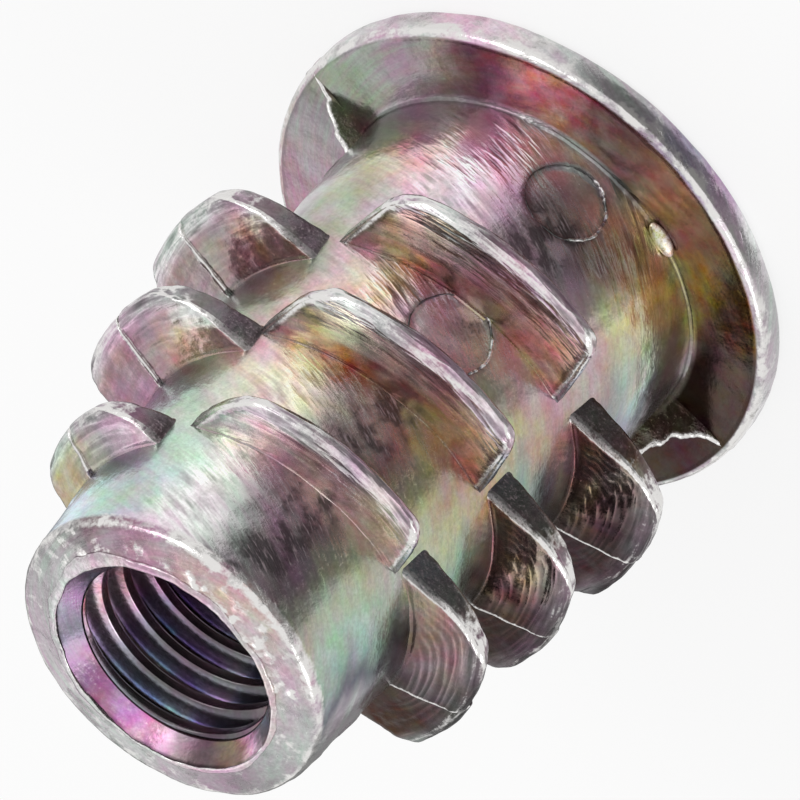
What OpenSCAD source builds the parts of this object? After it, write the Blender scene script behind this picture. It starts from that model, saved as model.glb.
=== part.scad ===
// Threaded insert for wood: a die-cast sleeve with a flange, a tapped bore, a hex socket
// in the flange and a coarse outer thread that is broken into four columns of lugs.
// It stands on its flange. +Z runs along the bore to the open end, and the die parted on
// the plane y = 0, so that -Y is the side the ejector pins pushed on.

/* [Flange] */
// Outside diameter of the flange
flange_d = 18.4; // [15:0.1:24]
// Thickness of the flange
flange_t = 1.25; // [1:0.05:3]
// Radius that rounds the rim's inner edge, on the side of the thread
rim_round = 0.3; // [0.1:0.05:0.5]
// Radius that rounds the rim's outer edge, on the flange's face
face_round = 0.25; // [0.1:0.05:0.5]

/* [Body] */
// Whole length, from the flange's face to the open end
overall_len = 22.8; // [17:0.1:40]
// Diameter of the neck, next to the flange
neck_d = 13; // [11.5:0.1:16]
// Length of the straight neck, from the flange to where the body starts to narrow
neck_len = 4; // [1:0.1:6]
// Radius of the fillet between the flange and the neck
neck_fillet = 0.3; // [0.1:0.05:1]
// Diameter of the body at its open end
tip_d = 10.8; // [9.6:0.1:12]
// How far the end face falls from the bore's mouth to its outer edge
tip_fall = 0.4; // [0:0.05:1]
// Radius that rounds the end face's outer edge
tip_round = 0.3; // [0.1:0.05:0.6]

/* [Coarse thread] */
// Outside diameter over the first lugs, next to the neck
thread_d = 18.4; // [15:0.1:23]
// Outside diameter over the last lugs, next to the open end
thread_tip_d = 15.4; // [13.5:0.1:20]
// Rise from one lug to the next in the same column
lug_pitch = 4.5; // [3.6:0.1:6]
// Height of the first lug's middle above the flange's face
first_lug_z = 7.5; // [6:0.05:12]
// Length of body kept between the last row's first lug and the open end
plain_end = 6; // [5:0.1:9]
// Rise of each column's first lug above the first column's
column_rise = [0, 0.95, 1.75, 2.85]; // [0:0.05:4]
// Width of a lug along its crest, in the ejector pins' half of the die
lug_w = 7.6; // [5:0.1:8.5]
// Width of a lug along its crest, in the other half of the die
far_lug_w = 5.6; // [4.5:0.1:8.5]
// How much wider a lug is at its root than along its crest
lug_draft = 0.8; // [0.2:0.1:1.5]
// Thickness of a lug at its root
lug_root_t = 1.7; // [1.2:0.1:2.4]
// Thickness of a lug where its rounded crest begins
lug_nose_t = 1.05; // [0.6:0.05:1.2]
// Depth of a lug's rounded crest
lug_nose_len = 0.7; // [0.3:0.05:1]
// Radius of the fillet between a lug and the body
lug_fillet = 0.3; // [0.1:0.05:0.5]
// Slope of the lugs that lie wholly in one half of the die
lug_lean = 2.3; // [0:0.1:5]
// How far the ejector pins' half of the die sits turned about the bore
half_turn = 2; // [0:0.1:4]
// Step at the parting plane between the two halves of the other lugs
half_step = 0.45; // [0:0.05:0.6]
// Share of its height that each of the three lead-in lugs loses against the lug before it
lead_in_drop = 0.18; // [0:0.01:0.3]

/* [Bore] */
// Diameter of the bore, across the crests of its fine thread
bore_d = 6.7; // [5.4:0.1:8.1]
// Diameter of the countersunk mouth at the open end
sink_d = 7.95; // [6.8:0.05:9.4]
// Depth of the countersink
sink_depth = 0.85; // [0.3:0.05:2]

/* [Hex socket] */
// Width of the hex socket across its flats
hex_af = 8.1; // [6.5:0.1:9.8]
// Depth of the hex socket's flats, from the flange's face
hex_depth = 6; // [3:0.1:9]
// Depth of the cone that joins the socket to the bore
hex_cone = 0.7; // [0.2:0.1:2]
// Width of the chamfer around the socket's mouth
hex_chamfer = 0.25; // [0.1:0.05:0.5]

/* [Casting marks] */
// Thickness of the web of flash in each corner between neck and flange
web_t = 0.25; // [0.1:0.05:0.6]
// Heights of the two webs along the neck, towards +X and towards -X
web_h = [1.4, 3.1]; // [0.5:0.1:4]
// Distance from a web's outer corner to the rim
web_inset = 0.25; // [0.2:0.05:1]
// Diameter of the ejector pins' marks
pin_d = 2.8; // [1.5:0.1:4]
// Depth of the marks
pin_depth = 0.12; // [0.05:0.01:0.3]
// Heights of the marks above the flange's face
pin_z = [3.25, 10.1]; // [2:0.05:14]

/* [Hidden] */
$fn = 96;

// Directions of the four columns of lugs, in the order in which the thread climbs
COLUMN_DIRECTIONS = [180, 270, 0, 90];
PIN_DIRECTION = 270;
LEAD_IN_LUGS = 3;
COLUMNS = len(COLUMN_DIRECTIONS);
ARC_STEPS = 6;
WEB_STEPS = 8;
WEB_CURVE = 1.4;
// How far lugs and webs reach into the body, so that they become one casting
EMBED = 0.8;
OVERCUT = 1;

lug_rows = floor((overall_len - plain_end - first_lug_z) / lug_pitch) + 1;
lug_count = lug_rows * COLUMNS;
last_lug_z = lug_z(lug_count - 1);
taper_start = flange_t + neck_len;
taper_end = overall_len - tip_fall - tip_round;

// Points along a quarter turn about a centre, from one angle to another
function arc(centre, radius, from, to) =
    [for (i = [0:ARC_STEPS])
        let (a = from + (to - from) * i / ARC_STEPS)
        centre + radius * [cos(a), sin(a)]];

// Radius of the plain body at a height
function body_r(z) =
    let (t = (z - taper_start) / (taper_end - taper_start))
    neck_d / 2 + (tip_d - neck_d) / 2 * min(1, max(0, t));

// Height of a lug's middle, with the lugs counted along the thread
function lug_z(i) =
    first_lug_z + column_rise[i % COLUMNS] + lug_pitch * floor(i / COLUMNS);

// Radius of the outer thread's cone at a height
function thread_r(z) =
    let (t = (z - first_lug_z) / (last_lug_z - first_lug_z))
    (thread_d + (thread_tip_d - thread_d) * t) / 2;

// Share of the full height that a lug has: the last few lead in at the open end
function lug_share(i) = pow(1 - lead_in_drop, max(0, i - (lug_count - 1 - LEAD_IN_LUGS)));

// Radius of a lug's crest, with a share of the full height
function crest_r(i, share) =
    let (z = lug_z(i))
    body_r(z) + (thread_r(z) - body_r(z)) * share;

// Half of a lug's section on one side of its middle: side is 1 towards the open end and
// -1 towards the flange. It runs from inside the body over fillet, flank and crest.
function half_section(i, share, side) =
    let (
        half_root = lug_root_t / 2,
        foot_r = body_r(lug_z(i) + side * (half_root + lug_fillet)),
        fillet = arc([foot_r + lug_fillet, half_root + lug_fillet], lug_fillet, 180, 270),
        nose = [for (k = [0:ARC_STEPS])
            let (a = 90 * (1 - k / ARC_STEPS))
            [crest_r(i, share) - lug_nose_len * (1 - cos(a)), lug_nose_t / 2 * sin(a)]],
        outline = concat([[foot_r - EMBED, half_root + lug_fillet]], fillet, nose)
    )
    [for (p = outline) [p.x, side * p.y]];

// A point turned about the bore
function turned(p, angle) =
    [p.x * cos(angle) - p.y * sin(angle), p.x * sin(angle) + p.y * cos(angle)];

function reversed(points) = [for (k = [len(points) - 1:-1:0]) points[k]];

// One lug's whole section, without the crest's middle point twice
function lug_section(i, share) =
    let (upper = half_section(i, share, 1), lower = reversed(half_section(i, share, -1)))
    concat(upper, [for (k = [1:len(lower) - 1]) lower[k]]);

// The space between a lug's two end faces, which the die's draft opens towards the root.
// side keeps all of it (0) or only what lies left (1) or right (-1) of the parting plane.
module lug_slab(i, share, width, turn, side) {
    crest = crest_r(i, share);
    half_crest = width / 2 * sqrt(share);
    slope = lug_draft / 2 / (crest - body_r(lug_z(i)));
    half_axis = half_crest + slope * crest;
    half_reach = half_crest - slope * OVERCUT;
    reach = crest + OVERCUT;
    right_face = side > 0
        ? [[0, 0], [reach, 0]]
        : [turned([0, -half_axis], turn), turned([reach, -half_reach], turn)];
    left_face = side < 0
        ? [[reach, 0], [0, 0]]
        : [turned([reach, half_reach], turn), turned([0, half_axis], turn)];
    linear_extrude(height = 2 * lug_pitch, center = true)
        polygon(concat(right_face, left_face));
}

// A lug, or the half of it on one side of the parting plane, about z = 0 and towards +X
module lug_part(i, share, width, turn, side) {
    intersection() {
        rotate_extrude()
            polygon(lug_section(i, share));
        lug_slab(i, share, width, turn, side);
    }
}

// A lug that the parting plane crosses, with its halves a step apart. pin_side is the side
// of the lug that the ejector pins' half of the die makes: 1 for the left one, -1 for the right.
module split_lug(i, pin_side) {
    translate([0, 0, pin_side * half_step / 2])
        lug_part(i, lug_share(i), lug_w, half_turn, pin_side);
    translate([0, 0, -pin_side * half_step / 2])
        lug_part(i, lug_share(i), far_lug_w, 0, -pin_side);
}

// One lug in its place. One that lies wholly in a half of the die slopes along the thread.
module lug(i) {
    direction = COLUMN_DIRECTIONS[i % COLUMNS];
    rotate([0, 0, direction])
        translate([0, 0, lug_z(i)])
            if (direction % 180 == 0) {
                split_lug(i, direction == 0 ? -1 : 1);
            } else {
                pins_half = direction == PIN_DIRECTION;
                rotate([lug_lean, 0, 0])
                    lug_part(
                        i, lug_share(i),
                        pins_half ? lug_w : far_lug_w,
                        pins_half ? half_turn : 0,
                        0
                    );
            }
}

// The turned shape: flange, neck, tapered body, sloping end face, countersink and bore
module sleeve() {
    bore_r = bore_d / 2;
    neck_r = neck_d / 2;
    rim_r = flange_d / 2;
    tip_r = tip_d / 2;
    rotate_extrude()
        polygon(concat(
            [[bore_r, 0]],
            arc([rim_r - face_round, face_round], face_round, 270, 360),
            arc([rim_r - rim_round, flange_t - rim_round], rim_round, 0, 90),
            reversed(arc([neck_r + neck_fillet, flange_t + neck_fillet], neck_fillet, 180, 270)),
            [[neck_r, taper_start]],
            arc([tip_r - tip_round, taper_end], tip_round, 0, 70),
            [[sink_d / 2, overall_len], [bore_r, overall_len - sink_depth]]
        ));
}

// The tool's socket in the flange, with its mouth's chamfer and the cone down to the bore
module hex_socket() {
    corner_r = hex_af / 2 / cos(30);
    core_r = hex_af / 2 - hex_chamfer;
    translate([0, 0, -OVERCUT])
        cylinder(h = hex_depth + OVERCUT, r = corner_r, $fn = 6);
    translate([0, 0, -OVERCUT])
        cylinder(
            h = hex_chamfer + OVERCUT,
            r1 = corner_r + hex_chamfer + OVERCUT,
            r2 = corner_r
        );
    translate([0, 0, hex_depth - hex_chamfer])
        cylinder(h = hex_chamfer + hex_cone, r1 = core_r, r2 = bore_d / 2);
}

// The thin triangle of flash in the corner between neck and flange, with a hollow free edge
module web(height) {
    root_r = neck_d / 2;
    width = flange_d / 2 - web_inset - root_r;
    edge = [for (k = [0:WEB_STEPS])
        let (u = k / WEB_STEPS)
        [root_r + width * u, flange_t + height * pow(1 - u, WEB_CURVE)]];
    rotate([90, 0, 0])
        linear_extrude(height = web_t, center = true)
            polygon(concat(
                edge,
                [[root_r + width, flange_t - EMBED], [root_r - EMBED, flange_t - EMBED]],
                [[root_r - EMBED, flange_t + height]]
            ));
}

// What an ejector pin leaves at a height: a round, shallow print that follows the body
module pin_mark(z) {
    low = z - pin_d;
    high = z + pin_d;
    reach = thread_d;
    intersection() {
        translate([0, 0, z])
            rotate([90, 0, half_turn / 2])
                cylinder(h = reach, d = pin_d);
        rotate_extrude()
            polygon([
                [body_r(low) - pin_depth, low],
                [reach, low],
                [reach, high],
                [body_r(high) - pin_depth, high]
            ]);
    }
}

module threaded_insert() {
    color("#b8ad96")
        difference() {
            union() {
                difference() {
                    sleeve();
                    for (z = pin_z) {
                        pin_mark(z);
                    }
                }
                for (i = [0:lug_count - 1]) {
                    lug(i);
                }
                for (side = [0, 1]) {
                    rotate([0, 0, 180 * side])
                        web(web_h[side]);
                }
            }
            hex_socket();
        }
}

threaded_insert();
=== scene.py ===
"""Looks of a threaded insert for wood: a zinc die casting under an iridescent chromate film.

The insert stands on its flange, its bore runs along +Z, and the die parted on the plane y = 0,
with the ejector pins on the side of -Y. Sizes are in millimetres and bearings in degrees about
the bore, from +X towards +Y. The meshes are in metres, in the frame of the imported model.
"""

import logging
import math
from collections.abc import Callable, Iterable, Iterator, Sequence
from contextlib import contextmanager
from dataclasses import dataclass, field
from enum import Enum
from itertools import product

import bmesh
import bpy
import numpy as np
from mathutils import Matrix, Vector


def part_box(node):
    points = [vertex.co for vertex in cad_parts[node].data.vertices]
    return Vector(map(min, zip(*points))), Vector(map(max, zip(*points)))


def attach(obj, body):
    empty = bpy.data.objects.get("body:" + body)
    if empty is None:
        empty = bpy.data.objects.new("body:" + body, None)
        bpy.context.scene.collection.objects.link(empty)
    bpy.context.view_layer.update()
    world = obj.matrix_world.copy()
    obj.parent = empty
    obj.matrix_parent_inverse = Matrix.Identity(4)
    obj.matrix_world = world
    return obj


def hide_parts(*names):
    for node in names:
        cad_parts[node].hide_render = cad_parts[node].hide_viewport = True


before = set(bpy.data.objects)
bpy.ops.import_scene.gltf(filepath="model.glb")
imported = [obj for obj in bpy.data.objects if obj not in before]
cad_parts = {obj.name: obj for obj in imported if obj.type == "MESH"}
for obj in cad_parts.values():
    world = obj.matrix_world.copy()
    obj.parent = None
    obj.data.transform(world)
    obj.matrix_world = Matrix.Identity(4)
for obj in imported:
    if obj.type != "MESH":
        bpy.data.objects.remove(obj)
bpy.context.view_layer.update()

log = logging.getLogger("threaded_insert")

MM = 0.001
NODE = "threaded_insert"
BODY = "root"
FULL_TURN = 2 * math.pi
WELD = 0.0002

# Large primes that scatter the cells of the noise.
CELL_PRIMES = np.array([73856093, 19349663, 83492791])
SEED_PRIME = 2654435
STIRS = ((15, 2246822519), (13, 3266489917))


# ---------------------------------------------------------------- numbers and noise


def grain(points: np.ndarray, size: float, seed: int) -> np.ndarray:
    """Smooth random bumps about zero.

    Args:
        points: places, one per row.
        size: width of a bump, in the unit of the points.
        seed: picks the pattern.

    Returns:
        One value per point, from -1 to 1.
    """
    cells = points / size + 31.7 + seed * 7.13
    corner = np.floor(cells).astype(np.int64)
    part = cells - corner
    upper = part**3 * (part * (part * 6 - 15) + 10)
    total = np.zeros(len(points))
    for step in product((0, 1), repeat=3):
        at = (corner + np.array(step)) * CELL_PRIMES
        key = at[:, 0] ^ at[:, 1] ^ at[:, 2] ^ (seed * SEED_PRIME)
        for shift, prime in STIRS:
            key = (key ^ (key >> shift)) * prime % 2**32
        value = (key ^ (key >> 16)) / 2**31 - 1
        total += value * np.prod(np.where(np.array(step) == 1, upper, 1 - upper), axis=1)
    return total


def cast_skin(points: np.ndarray, size: float, seed: int, octaves: int = 3) -> np.ndarray:
    """Layers of bumps, each half as wide and half as high as the last.

    Args:
        points: places in millimetres.
        size: width of the widest bumps.
        seed: picks the pattern.
        octaves: number of layers.

    Returns:
        One value per point, from about -1 to 1.
    """
    layers = (grain(points, size / 2**k, seed + k) / 2**k for k in range(octaves))
    return sum(layers)


def ease(low: float, high: float, value: np.ndarray) -> np.ndarray:
    """A smooth rise from 0 at low to 1 at high."""
    t = np.clip((value - low) / (high - low), 0, 1)
    return t * t * (3 - 2 * t)


def bell(distance: np.ndarray, width: float) -> np.ndarray:
    """A soft bump: 1 at no distance, falling away over the width."""
    return np.exp(-((distance / width) ** 2))


def bearing_of(points: np.ndarray) -> np.ndarray:
    """Bearing of each point about the bore, from 0 to 360 degrees."""
    return np.degrees(np.arctan2(points[:, 1], points[:, 0])) % 360


def reach_of(points: np.ndarray) -> np.ndarray:
    """Distance of each point from the middle of the bore."""
    return np.hypot(points[:, 0], points[:, 1])


def turned(bearing: np.ndarray, middle: float) -> np.ndarray:
    """How far a bearing is turned from another, from -180 to 180 degrees."""
    return (bearing - middle + 180) % 360 - 180


def facing(bearing: np.ndarray, middle: float, width: float) -> np.ndarray:
    """1 at a bearing, falling away to both sides over a width in degrees."""
    return bell(turned(bearing, middle), width)


def full_circle(count: int) -> np.ndarray:
    """Even angles round a full turn, in radians."""
    return np.arange(count) / count * FULL_TURN


def around_bore(reach: np.ndarray, angle: np.ndarray, height: np.ndarray) -> np.ndarray:
    """Points at distances from the bore's middle, angles in radians and heights."""
    return np.stack(np.broadcast_arrays(reach * np.cos(angle), reach * np.sin(angle), height), axis=-1)


# ---------------------------------------------------------------- colours of the film, with painted light and shade


class Hue(Enum):
    """Colours that the chromate film takes, as they look, from 0 to 255."""

    SILVER = (226, 224, 222)
    ASH = (176, 174, 174)
    PEARL = (206, 188, 194)
    BLUSH = (226, 196, 192)
    ROSE = (196, 150, 166)
    ORCHID = (184, 134, 172)
    LILAC = (180, 170, 190)
    CLAY = (178, 116, 112)
    FAWN = (184, 152, 138)
    COPPER = (176, 120, 92)
    OCHRE = (160, 132, 86)
    STRAW = (200, 188, 150)
    KHAKI = (170, 168, 124)
    SAGE = (160, 170, 146)
    MINT = (178, 206, 190)
    ICE = (188, 198, 214)

    def linear(self) -> np.ndarray:
        """The colour in linear light."""
        share = np.array(self.value) / 255
        return np.where(share <= 0.04045, share / 12.92, ((share + 0.055) / 1.055) ** 2.4)


@dataclass(frozen=True)
class Sweep:
    """How the film's colour changes round the bore, as (bearing, hue, strength) stops in rising order; the
    strengths also carry painted light and shade.
    """

    stops: tuple[tuple[float, Hue, float], ...]

    def at(self, bearing: np.ndarray) -> np.ndarray:
        """Colours at bearings.

        Args:
            bearing: degrees about the bore.

        Returns:
            Linear colours, one row per bearing.
        """
        places = [stop for stop, _, _ in self.stops]
        colours = np.array([hue.linear() * strength for _, hue, strength in self.stops])
        columns = (np.interp(bearing, places, colours[:, k], period=360) for k in range(3))
        return np.stack(tuple(columns), axis=1)


# ---------------------------------------------------------------- node trees


class Graph:
    """A node tree under construction, with short words for adding and linking nodes."""

    def __init__(self, tree: bpy.types.NodeTree) -> None:
        """Keeps the tree that is built."""
        self.tree = tree

    def add(self, kind: str, values: dict | None = None, **settings: object) -> bpy.types.Node:
        """Adds a node.

        Args:
            kind: the node's type.
            values: what goes into its inputs, by name or place: a Field, a socket or a constant.
            settings: the node's own settings.

        Returns:
            The new node.
        """
        node = self.tree.nodes.new(kind)
        for name, setting in settings.items():
            setattr(node, name, setting)
        for key, value in (values or {}).items():
            self.feed(self.pick(node.inputs, key), value)
        return node

    @staticmethod
    def pick(sockets: bpy.types.bpy_prop_collection, key: str | int) -> bpy.types.NodeSocket:
        """The live one of a node's inputs or outputs that has a name or place."""
        named = (socket for socket in sockets if socket.name == key and socket.enabled)
        return sockets[key] if isinstance(key, int) else next(named)

    def feed(self, socket: bpy.types.NodeSocket, value: object) -> None:
        """Links a Field or socket to an input, or writes a constant into it.

        Args:
            socket: the input.
            value: a Field, a socket or a constant.
        """
        if isinstance(value, Field):
            value = value.socket
        if isinstance(value, bpy.types.NodeSocket):
            self.tree.links.new(value, socket)
        else:
            socket.default_value = value

    def field(
        self, kind: str, values: dict | None = None, out: str | int = 0, **settings: object
    ) -> "Field":
        """Adds a node and returns one of its outputs as a Field.

        Args:
            kind: the node's type.
            values: what goes into its inputs.
            out: the output's name or place.
            settings: the node's own settings.

        Returns:
            The output.
        """
        return Field(self, self.pick(self.add(kind, values, **settings).outputs, out))

    def mark(self, name: str, out: str = "Fac") -> "Field":
        """A material's view of what is stored on a mesh's points under a name."""
        return self.field("ShaderNodeAttribute", out=out, attribute_name=name)

    def join(self, x: object, y: object, z: object = 0.0) -> "Field":
        """A vector from three numbers."""
        return self.field("ShaderNodeCombineXYZ", {"X": x, "Y": y, "Z": z})

    def position(self) -> "tuple[Field, ...]":
        """The place of each point that a Geometry Nodes tree works on, as three numbers."""
        split = self.add("ShaderNodeSeparateXYZ", {0: self.field("GeometryNodeInputPosition")})
        return tuple(Field(self, socket) for socket in split.outputs)


class Field:
    """What flows out of a node: a number, with the usual arithmetic, or a vector, colour or mesh."""

    def __init__(self, graph: Graph, socket: bpy.types.NodeSocket) -> None:
        """Keeps the tree and the socket that the number comes from."""
        self.graph = graph
        self.socket = socket

    def math(self, operation: str, *others: object) -> "Field":
        """Runs a Math node on this value and others.

        Args:
            operation: the node's operation.
            others: the second and third numbers.

        Returns:
            The result.
        """
        values = dict(enumerate((self, *others)))
        return self.graph.field("ShaderNodeMath", values, operation=operation)

    def __add__(self, other: object) -> "Field":
        """The sum."""
        return self.math("ADD", other)

    def __sub__(self, other: object) -> "Field":
        """The difference."""
        return self.math("SUBTRACT", other)

    def __rsub__(self, other: float) -> "Field":
        """A constant less this value."""
        return (self * -1).math("ADD", other)

    def __mul__(self, other: object) -> "Field":
        """The product."""
        return self.math("MULTIPLY", other)

    def __truediv__(self, other: object) -> "Field":
        """The quotient."""
        return self.math("DIVIDE", other)

    __radd__ = __add__
    __rmul__ = __mul__

    def least(self, other: object) -> "Field":
        """The smaller of two values."""
        return self.math("MINIMUM", other)

    def most(self, other: object) -> "Field":
        """The larger of two values."""
        return self.math("MAXIMUM", other)

    def between(self, low: object, high: object) -> "Field":
        """How far the value is from low to high, held within 0 and 1."""
        return ((self - low) / (high - low)).most(0.0).least(1.0)

    def mix(self, start: object, end: object) -> "Field":
        """A value that goes from start to end as this one goes from 0 to 1."""
        return self * (end - start) + start


def open_tree(
    name: str, source: str, inputs: dict[str, object], result: str
) -> tuple[Graph, dict[str, Field]]:
    """Starts a Geometry Nodes tree.

    Args:
        name: the tree's name.
        source: name of the mesh that goes in.
        inputs: the tree's other inputs by name, whose values show of which kind each one is.
        result: name of the mesh that comes out.

    Returns:
        The tree's graph, and its inputs by name.
    """
    kinds = {float: "Float", int: "Int"}
    tree = bpy.data.node_groups.new(name, "GeometryNodeTree")
    tree.interface.new_socket(source, in_out="INPUT", socket_type="NodeSocketGeometry")
    for label, value in inputs.items():
        kind = f"NodeSocket{kinds.get(type(value), 'Material')}"
        tree.interface.new_socket(label, in_out="INPUT", socket_type=kind)
    tree.interface.new_socket(result, in_out="OUTPUT", socket_type="NodeSocketGeometry")
    graph = Graph(tree)
    given = graph.add("NodeGroupInput")
    return graph, {socket.name: Field(graph, socket) for socket in given.outputs if socket.name}


def close_tree(graph: Graph, mesh: Field, finish: Field, result: str) -> bpy.types.NodeTree:
    """Ends a Geometry Nodes tree: smooth, with its copies made real, and in its finish.

    Args:
        graph: the tree's graph.
        mesh: the mesh so far.
        finish: the material.
        result: name of the mesh that comes out.

    Returns:
        The finished tree.
    """
    smooth = graph.field("GeometryNodeSetShadeSmooth", {"Geometry": mesh})
    solid = graph.field("GeometryNodeRealizeInstances", {"Geometry": smooth})
    dressed = graph.field("GeometryNodeSetMaterial", {"Geometry": solid, "Material": finish})
    graph.add("NodeGroupOutput", {result: dressed})
    return graph.tree


def new_material(name: str) -> tuple[bpy.types.Material, Graph, bpy.types.Node]:
    """Makes a material.

    Args:
        name: the material's name.

    Returns:
        The material, its graph and its shader.
    """
    material = bpy.data.materials.new(name)
    material.use_nodes = True
    return material, Graph(material.node_tree), material.node_tree.nodes["Principled BSDF"]


# ---------------------------------------------------------------- meshes


def mesh_arrays(mesh: bpy.types.Mesh) -> tuple[np.ndarray, np.ndarray]:
    """Reads where a mesh's points lie and face.

    Args:
        mesh: the mesh.

    Returns:
        Its points in millimetres, and its normals.
    """
    points = np.empty(len(mesh.vertices) * 3)
    normals = np.empty(len(mesh.vertices) * 3)
    mesh.vertices.foreach_get("co", points)
    mesh.vertex_normals.foreach_get("vector", normals)
    return points.reshape(-1, 3) / MM, normals.reshape(-1, 3)


def move_points(mesh: bpy.types.Mesh, points: np.ndarray) -> None:
    """Moves a mesh's points to places in millimetres."""
    mesh.vertices.foreach_set("co", (points * MM).ravel())
    mesh.update()


def read_value(mesh: bpy.types.Mesh, name: str) -> np.ndarray:
    """Reads a number that is stored on a mesh's points.

    Args:
        mesh: the mesh.
        name: the number's name.

    Returns:
        One value per point.
    """
    values = np.empty(len(mesh.vertices))
    mesh.attributes[name].data.foreach_get("value", values)
    return values


def write_value(mesh: bpy.types.Mesh, name: str, values: np.ndarray) -> None:
    """Stores a named number on each of a mesh's points."""
    layer = mesh.attributes.new(name, "FLOAT", "POINT")
    layer.data.foreach_set("value", np.asarray(values, dtype=np.float32))


def write_vector(mesh: bpy.types.Mesh, name: str, vectors: np.ndarray) -> None:
    """Stores a named vector on each of a mesh's points."""
    layer = mesh.attributes.new(name, "FLOAT_VECTOR", "POINT")
    layer.data.foreach_set("vector", np.asarray(vectors, dtype=np.float32).ravel())


def write_colour(mesh: bpy.types.Mesh, name: str, colours: np.ndarray) -> None:
    """Stores a colour on a mesh's points.

    Args:
        mesh: the mesh.
        name: the colour's name.
        colours: linear colours, one row per point.
    """
    layer = mesh.attributes.new(name, "FLOAT_COLOR", "POINT")
    flat = np.ones((len(colours), 4), dtype=np.float32)
    flat[:, :3] = np.clip(colours, 0, 1)
    layer.data.foreach_set("color", flat.ravel())


MARKS = ("wear_and_highlight", "soot_and_shade", "crinkle_and_glint", "ripple", "gap")


@dataclass
class Coat:
    """What the film needs to know about each point of a piece."""

    # The film's colour, with painted light and shade in it.
    tint: np.ndarray
    strand: np.ndarray
    wear_and_highlight: np.ndarray | float = 0.0
    soot_and_shade: np.ndarray | float = 0.0
    crinkle_and_glint: np.ndarray | float = 0.0
    ripple: np.ndarray | float = 0.0
    gap: np.ndarray | float = 0.0

    def put_on(self, mesh: bpy.types.Mesh) -> None:
        """Stores the marks on a mesh's points.

        Args:
            mesh: the mesh, with as many points as the marks.
        """
        write_colour(mesh, "tint", self.tint)
        write_vector(mesh, "strand", self.strand)
        for name in MARKS:
            values = np.broadcast_to(getattr(self, name), len(mesh.vertices))
            write_value(mesh, name, values if name == "gap" else np.clip(values, 0, 1))


def enclosed(mesh: bpy.types.Mesh) -> float:
    """Measures the volume that a mesh holds.

    Args:
        mesh: a closed mesh.

    Returns:
        Cubic millimetres, below zero if the faces point inwards.
    """
    mesh.calc_loop_triangles()
    corners = np.empty(len(mesh.loop_triangles) * 3, dtype=np.int32)
    mesh.loop_triangles.foreach_get("vertices", corners)
    points, _ = mesh_arrays(mesh)
    a, b, c = (points[corners.reshape(-1, 3)[:, k]] for k in range(3))
    return float(np.einsum("ij,ij->i", a, np.cross(b, c)).sum() / 6)


def face_outwards(mesh: bpy.types.Mesh) -> None:
    """Makes a closed mesh's faces point outwards."""
    if enclosed(mesh) < 0:
        mesh.flip_normals()


def new_object(name: str, data: bpy.types.ID) -> bpy.types.Object:
    """Puts a mesh, lamp or camera into the scene, at the origin.

    Args:
        name: the object's name.
        data: the mesh, lamp or camera.

    Returns:
        The object.
    """
    thing = bpy.data.objects.new(name, data)
    bpy.context.scene.collection.objects.link(thing)
    return thing


def new_piece(
    name: str, mesh: bpy.types.Mesh, material: bpy.types.Material | None = None
) -> bpy.types.Object:
    """Puts a mesh into the scene as a piece, with its faces pointing outwards.

    Args:
        name: the piece's name.
        mesh: its finished mesh.
        material: its material, unless the mesh already has one.

    Returns:
        The object, at the origin.
    """
    if material:
        mesh.materials.append(material)
    face_outwards(mesh)
    mesh.name = name
    return new_object(name, mesh)


def tube_mesh(rings: np.ndarray, closed: bool) -> bpy.types.Mesh:
    """A mesh of rings joined one to the next.

    Args:
        rings: points in millimetres, as ring, place along the ring, axis.
        closed: whether the last ring joins the first.

    Returns:
        A smooth mesh of four-sided faces.
    """
    count, around, _ = rings.shape
    index = np.arange(count * around).reshape(count, around)
    following = np.roll(index, -1, axis=0) if closed else index[1:]
    leading = index if closed else index[:-1]
    faces = np.stack(
        (leading, np.roll(leading, -1, axis=1), np.roll(following, -1, axis=1), following), axis=-1
    )
    mesh = bpy.data.meshes.new("tube")
    mesh.from_pydata((rings.reshape(-1, 3) * MM).tolist(), [], faces.reshape(-1, 4).tolist())
    mesh.update()
    mesh.shade_smooth()
    return mesh


@contextmanager
def opened(mesh: bpy.types.Mesh) -> Iterator[bmesh.types.BMesh]:
    """Opens a mesh for editing, and writes it back when the edit is done.

    Args:
        mesh: the mesh.

    Yields:
        The mesh's shell.
    """
    shell = bmesh.new()
    shell.from_mesh(mesh)
    yield shell
    shell.to_mesh(mesh)
    shell.free()


def close_ends(mesh: bpy.types.Mesh, around: int) -> None:
    """Closes both ends of an open tube of rings.

    Args:
        mesh: the tube.
        around: points in each ring.
    """
    with opened(mesh) as shell:
        points = list(shell.verts)
        shell.faces.new(points[:around][::-1])
        shell.faces.new(points[-around:])
        bmesh.ops.recalc_face_normals(shell, faces=shell.faces)


def clean(mesh: bpy.types.Mesh) -> None:
    """Welds points that coincide, and drops fins: faces that hang on by one edge.

    Args:
        mesh: the mesh.
    """
    with opened(mesh) as shell:
        bmesh.ops.remove_doubles(shell, verts=shell.verts, dist=WELD * MM)
        fins = [face for face in shell.faces if sum(edge.is_boundary for edge in face.edges) > 1]
        bmesh.ops.delete(shell, geom=fins, context="FACES")


def run_modifier(
    seed_mesh: bpy.types.Mesh, tree: bpy.types.NodeTree, inputs: dict[str, object]
) -> bpy.types.Mesh:
    """Runs a Geometry Nodes tree on a mesh.

    Args:
        seed_mesh: what the tree starts from.
        tree: the tree.
        inputs: values for its inputs, by name.

    Returns:
        The result as a plain mesh.
    """
    carrier = new_object("carrier", seed_mesh)
    modifier = carrier.modifiers.new("shape", "NODES")
    modifier.node_group = tree
    for item in tree.interface.items_tree:
        if item.in_out == "INPUT" and item.name in inputs:
            modifier[item.identifier] = inputs[item.name]
    depsgraph = bpy.context.evaluated_depsgraph_get()
    plain = bpy.data.meshes.new_from_object(
        carrier.evaluated_get(depsgraph), preserve_all_data_layers=True, depsgraph=depsgraph
    )
    carrier.modifiers.remove(modifier)
    bpy.data.objects.remove(carrier)
    return plain


# ---------------------------------------------------------------- finish


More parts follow.
